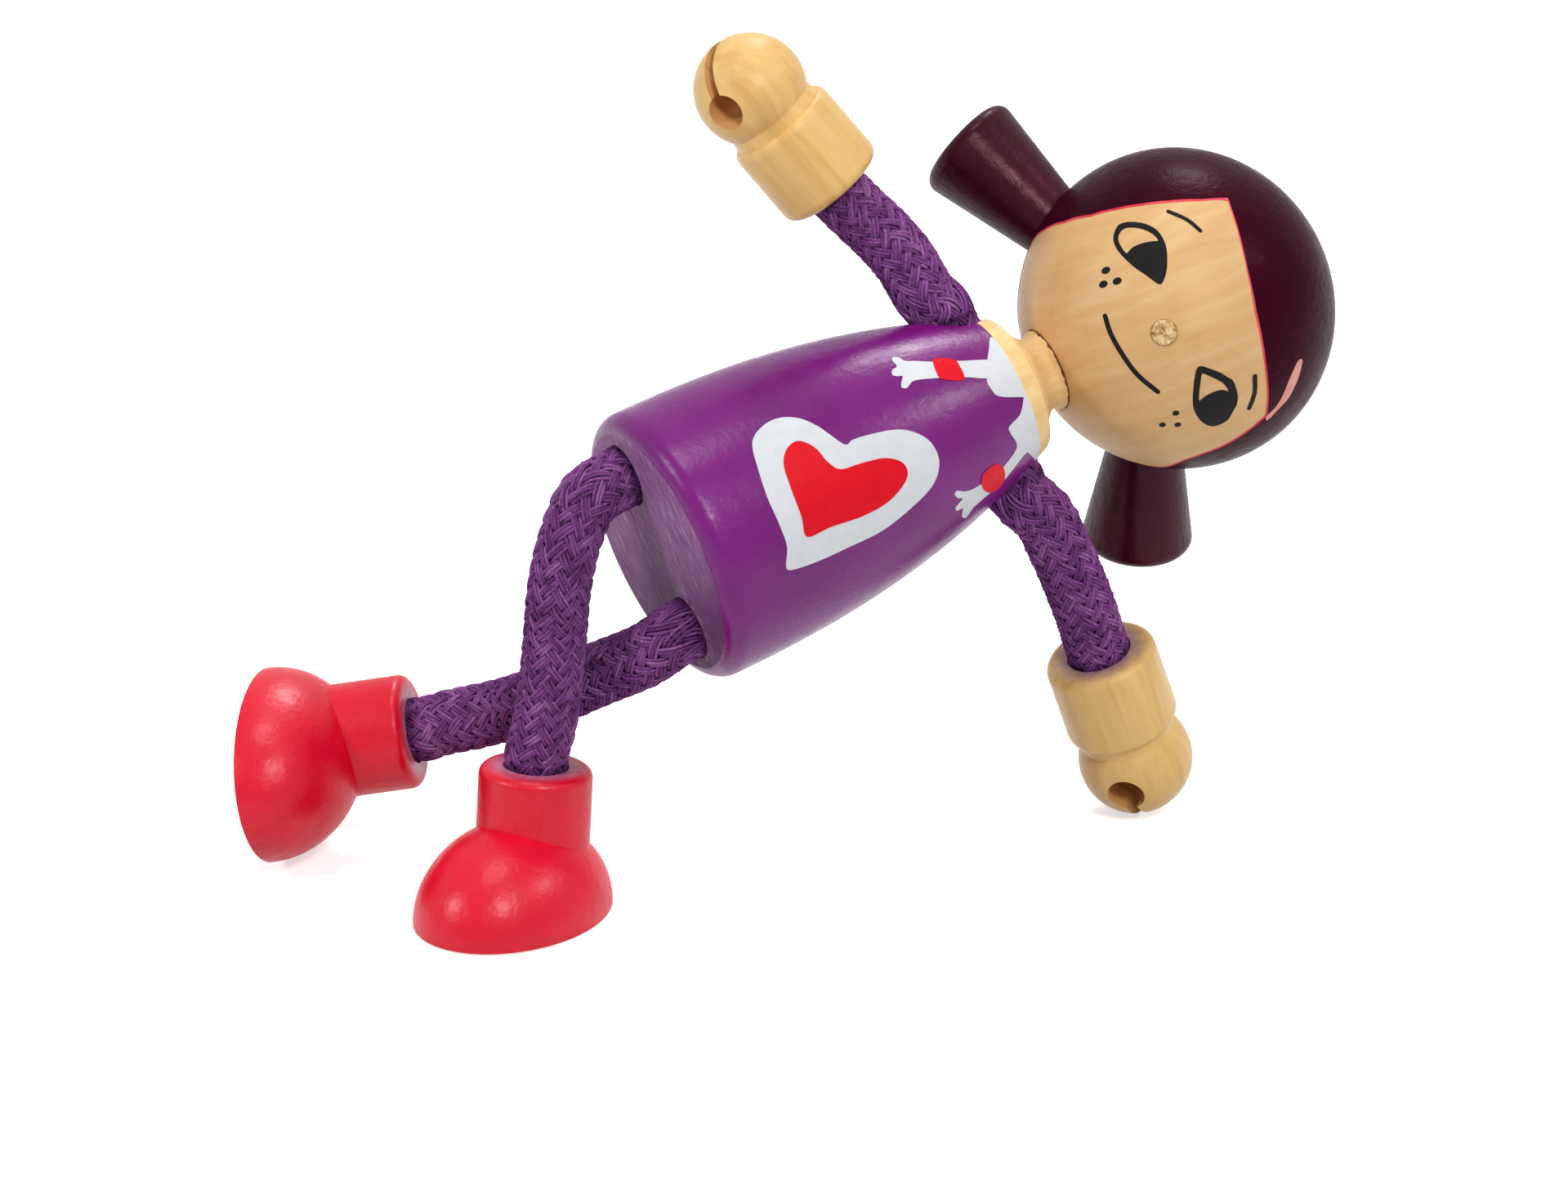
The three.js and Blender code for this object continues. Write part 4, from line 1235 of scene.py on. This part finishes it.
def pipe(route, start, stop, radius, sides):
    count = max(3, int(round((stop - start) / PIPE_STEP)) + 1)
    place, tangent, normal = route.at(np.linspace(start, stop, count))
    other = np.cross(tangent, normal)
    turns = [2 * math.pi * side / sides for side in range(sides)]
    ring = [place + (normal * math.cos(turn) + other * math.sin(turn)) * radius for turn in turns]
    return np.stack(ring, axis=1).reshape(-1, 3), tube_faces(count, sides)


def fuzz(route, start, stop, seed):
    """Loose cotton fibres standing off the braid."""
    draw = random.Random(seed)
    vertices, faces = [], []
    for _ in range(int((stop - start) * FIBRES_PER_MM)):
        distance = start + draw.random() * (stop - start)
        place, tangent, normal = (v[0] for v in route.at(np.full(1, distance)))
        turn = draw.random() * 2 * math.pi
        out = normal * math.cos(turn) + np.cross(tangent, normal) * math.sin(turn)
        around = np.cross(tangent, out)
        lean = tangent * draw.uniform(-1, 1) + around * draw.uniform(-1, 1)
        lean = unit(lean + 1e-6)
        length = draw.uniform(*FIBRE_LENGTHS)
        root = place + out * (BRAID_RADIUS + FIBRE_ROOT)
        bow = root + out * FIBRE_BOW + lean * length * FIBRE_BOW_SHARE
        tip = root + out * draw.uniform(*FIBRE_RISES) + lean * length
        side = unit(np.cross(lean, out)) * FIBRE_THICKNESS
        rise = out * FIBRE_THICKNESS
        faces += tube_faces(3, 3, len(vertices))
        for point in (root, bow, tip):
            vertices += [point + side, point - side / 2 + rise, point - side / 2 - rise]
    return np.array(vertices), faces


def joined(shapes):
    """Shapes as one, with a material number for each face and a tone for each point."""
    vertices, faces, which, tone = [], [], [], []
    first = 0
    for (points, polygons), material, value in shapes:
        vertices.append(points)
        faces += [tuple(i + first for i in polygon) for polygon in polygons]
        which += [material] * len(polygons)
        tone.append(np.broadcast_to(value, len(points)))
        first += len(points)
    return np.vstack(vertices), faces, which, np.concatenate(tone)


def add_cord(nodes, route, start, stop, seed, bodies, bend=None):
    """Braid and wire of one stretch, riding on its one body. With two bodies it is baked in place and rides
    on no body; the two distances of bend are looked up but not used.
    """
    points, faces, tone = braid(route, start, stop, seed)
    # The dark core is painted shade, seen through the gaps between the yarns.
    shade_core = pipe(route, start, stop, CORE_RADIUS, CORE_SIDES)
    fibres = fuzz(route, start, stop, seed + 1)
    parts = [((points, faces), 0, tone), (shade_core, 1, CORE_TONE), (fibres, 0, FIBRE_TONE)]
    points, faces, which, tone = joined(parts)
    still = np.identity(4)
    sleeve = new_mesh(f"{nodes}_braid", (points, faces), still, ["cotton", "shade_core"], which, tone=tone)
    wire = pipe(route, start, stop, WIRE_RADIUS, WIRE_SIDES)
    wire = new_mesh(f"{nodes}_braid_wire", wire, still, ["wire"], sharp=DOWEL_SHARP)
    for piece, slot in ((sleeve, "cord"), (wire, "wire")):
        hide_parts(f"{nodes}_{slot}")
        if bend is None:
            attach(piece, bodies[0])
        else:
            low, high = (route.at(np.array([d]))[0][0] * MM for d in bend)
            tuple(low)
            tuple(high)
            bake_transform(piece)


# Far end of each stretch, in millimetres from the mouth in the torso, and the body or bodies that it is on
ARM_CUTS = {
    "shoulder": (2.9, ["torso", "upper_arm"]),
    "upper": (5.8, ["upper_arm", "forearm"]),
    "elbow": (8.3, ["forearm", "hand"]),
}
LEG_CUTS = {
    "hip": (3, ["torso", "hip"]),
    "groin": (6, ["hip", "thigh"]),
    "thigh": (8.2, ["thigh"]),
    "knee": (11.6, ["thigh", "boot"]),
}
# Seeds of each braid; a stretch adds its place in the row
INNER_SEED = 11
ARM_SEEDS = {"right": 0, "left": 100}
WRIST_SEEDS = {"right": 9, "left": 109}
LEG_SEEDS = {"right": 200, "left": 300}
SHIN_SEEDS = {"right": 300, "left": 400}


def beyond(a, b, distance):
    return b + unit(b - a) * distance


def limb_route(hole, offsets, socket):
    """Route of a limb's cord. hole and socket each give their floor and their mouth."""
    run_outs = [beyond(*ends, CORD_RUN_OUT) for ends in (hole, socket)]
    chosen = [hole[1] + p for p in offsets[0]] + [socket[1] + p for p in offsets[1]]
    return Route([*hole, run_outs[0], *chosen, run_outs[1], *socket[::-1]], hole[1], socket[1])


def add_limb(word, limb, route, cuts, seed, last, last_body, last_seed):
    """Stretches of a limb's cord, and the last one, which is fixed in its hand or boot."""
    low = 0
    for index, (cut, (distance, names)) in enumerate(cuts.items()):
        high = route.zero + distance
        bodies = [name if name == "torso" else f"{word}_{name}" for name in names]
        bend = (max(low, route.zero), high) if len(bodies) == 2 else None
        add_cord(f"{word}_{limb}_{cut}", route, low, high, seed + index, bodies, bend)
        low = high
    high = route.end - CORD_END_GAP
    add_cord(f"{word}_{limb}_{last}", route, low, high, last_seed, [f"{word}_{last_body}"])


def make_limbs():
    bore_end = torso_radius(ARM_BORE_HEIGHT)
    body_end = bore_end - CORD_RADIUS
    ends = moved(TORSO, [(0, -body_end, ARM_BORE_HEIGHT), (0, body_end, ARM_BORE_HEIGHT)])
    inner = Route([ends[0], ends.mean(axis=0), ends[1]], ends[0])
    add_cord("arms_inner", inner, 0, inner.end, INNER_SEED, ["torso"])
    for word, side in SIDES.items():
        bore = [(0, side * y, ARM_BORE_HEIGHT) for y in (body_end + STRETCH_GAP, bore_end)]
        socket = moved(HANDS[word], [(0, 0, HAND_SOCKET_DEPTH), (0, 0, 0)])
        arm = limb_route(moved(TORSO, bore), ARM_ROUTES[word], socket)
        add_limb(word, "arm", arm, ARM_CUTS, ARM_SEEDS[word], "wrist", "hand", WRIST_SEEDS[word])
        hole = [(0, side * LEG_HOLE_SPREAD, z) for z in (LEG_HOLE_DEPTH - CORD_END_GAP, 0)]
        socket = [(0, 0, z) for z in (BOOT_LEG_TOP - BOOT_SOCKET_DEPTH, BOOT_LEG_TOP)]
        socket = moved(BOOTS[word] @ BOOT_LEG, socket)
        leg = limb_route(moved(TORSO, hole), LEG_ROUTES[word], socket)
        add_limb(word, "leg", leg, LEG_CUTS, LEG_SEEDS[word], "shin", "boot", SHIN_SEEDS[word])


# Pegs inside
def dress_pegs():
    for name in ("neck_peg", "right_pigtail_peg", "left_pigtail_peg"):
        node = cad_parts[name]
        node.data.materials.clear()
        node.data.materials.append(LOOKS["dowel"])


# Floor and light
FLOOR_REACH = 3000
FLOOR_DROP = 0.1
ROOM_LIGHT = 0.33
LAMP_TARGET = Vector((0, 0, 0.015))
# Place, width and power of each lamp, in metres and watts
LAMPS = {
    "front": ((0.09, -0.26, 0.26), 0.07, 0.55),
    "left": ((-0.29, -0.11, 0.2), 0.07, 0.38),
    "right": ((0.27, -0.04, 0.25), 0.07, 0.24),
    "back": ((0.05, 0.25, 0.29), 0.09, 0.46),
    "top": ((-0.02, -0.01, 0.39), 0.09, 0.33),
}


def make_floor():
    signs = ((-1, -1), (1, -1), (1, 1), (-1, 1))
    corners = [(x * FLOOR_REACH, y * FLOOR_REACH, -FLOOR_DROP) for x, y in signs]
    new_mesh("floor", (corners, [(0, 1, 2, 3)]), np.identity(4), ["floor"])


def make_light():
    scene = bpy.context.scene
    scene.view_settings.view_transform = "Standard"
    scene.world = bpy.data.worlds.new("white_room")
    scene.world.use_nodes = True
    sky = Nodes(scene.world.node_tree)
    room = sky.add("ShaderNodeBackground", {"Color": (0.95, 0.97, 1.0, 1), "Strength": ROOM_LIGHT})
    white = sky.add("ShaderNodeBackground", {"Color": (1, 1, 1, 1), "Strength": 1})
    mixed = sky.add("ShaderNodeMixShader", {0: sky.seen(), 1: room.outputs[0], 2: white.outputs[0]})
    sky.add("ShaderNodeOutputWorld", {"Surface": mixed.outputs[0]})
    for name, (place, width, power) in LAMPS.items():
        data = bpy.data.lights.new(name, "AREA")
        data.shape = "SQUARE"
        data.size = width
        data.energy = power
        lamp = bpy.data.objects.new(name, data)
        lamp.location = place
        lamp.rotation_euler = (LAMP_TARGET - Vector(place)).to_track_quat("-Z", "Y").to_euler()
        scene.collection.objects.link(lamp)


make_camera()
make_torso()
make_neck_seam()
make_head()
make_face()
make_torso_prints()
make_pigtails()
make_hands()
make_boots()
make_limbs()
dress_pegs()
make_floor()
make_light()
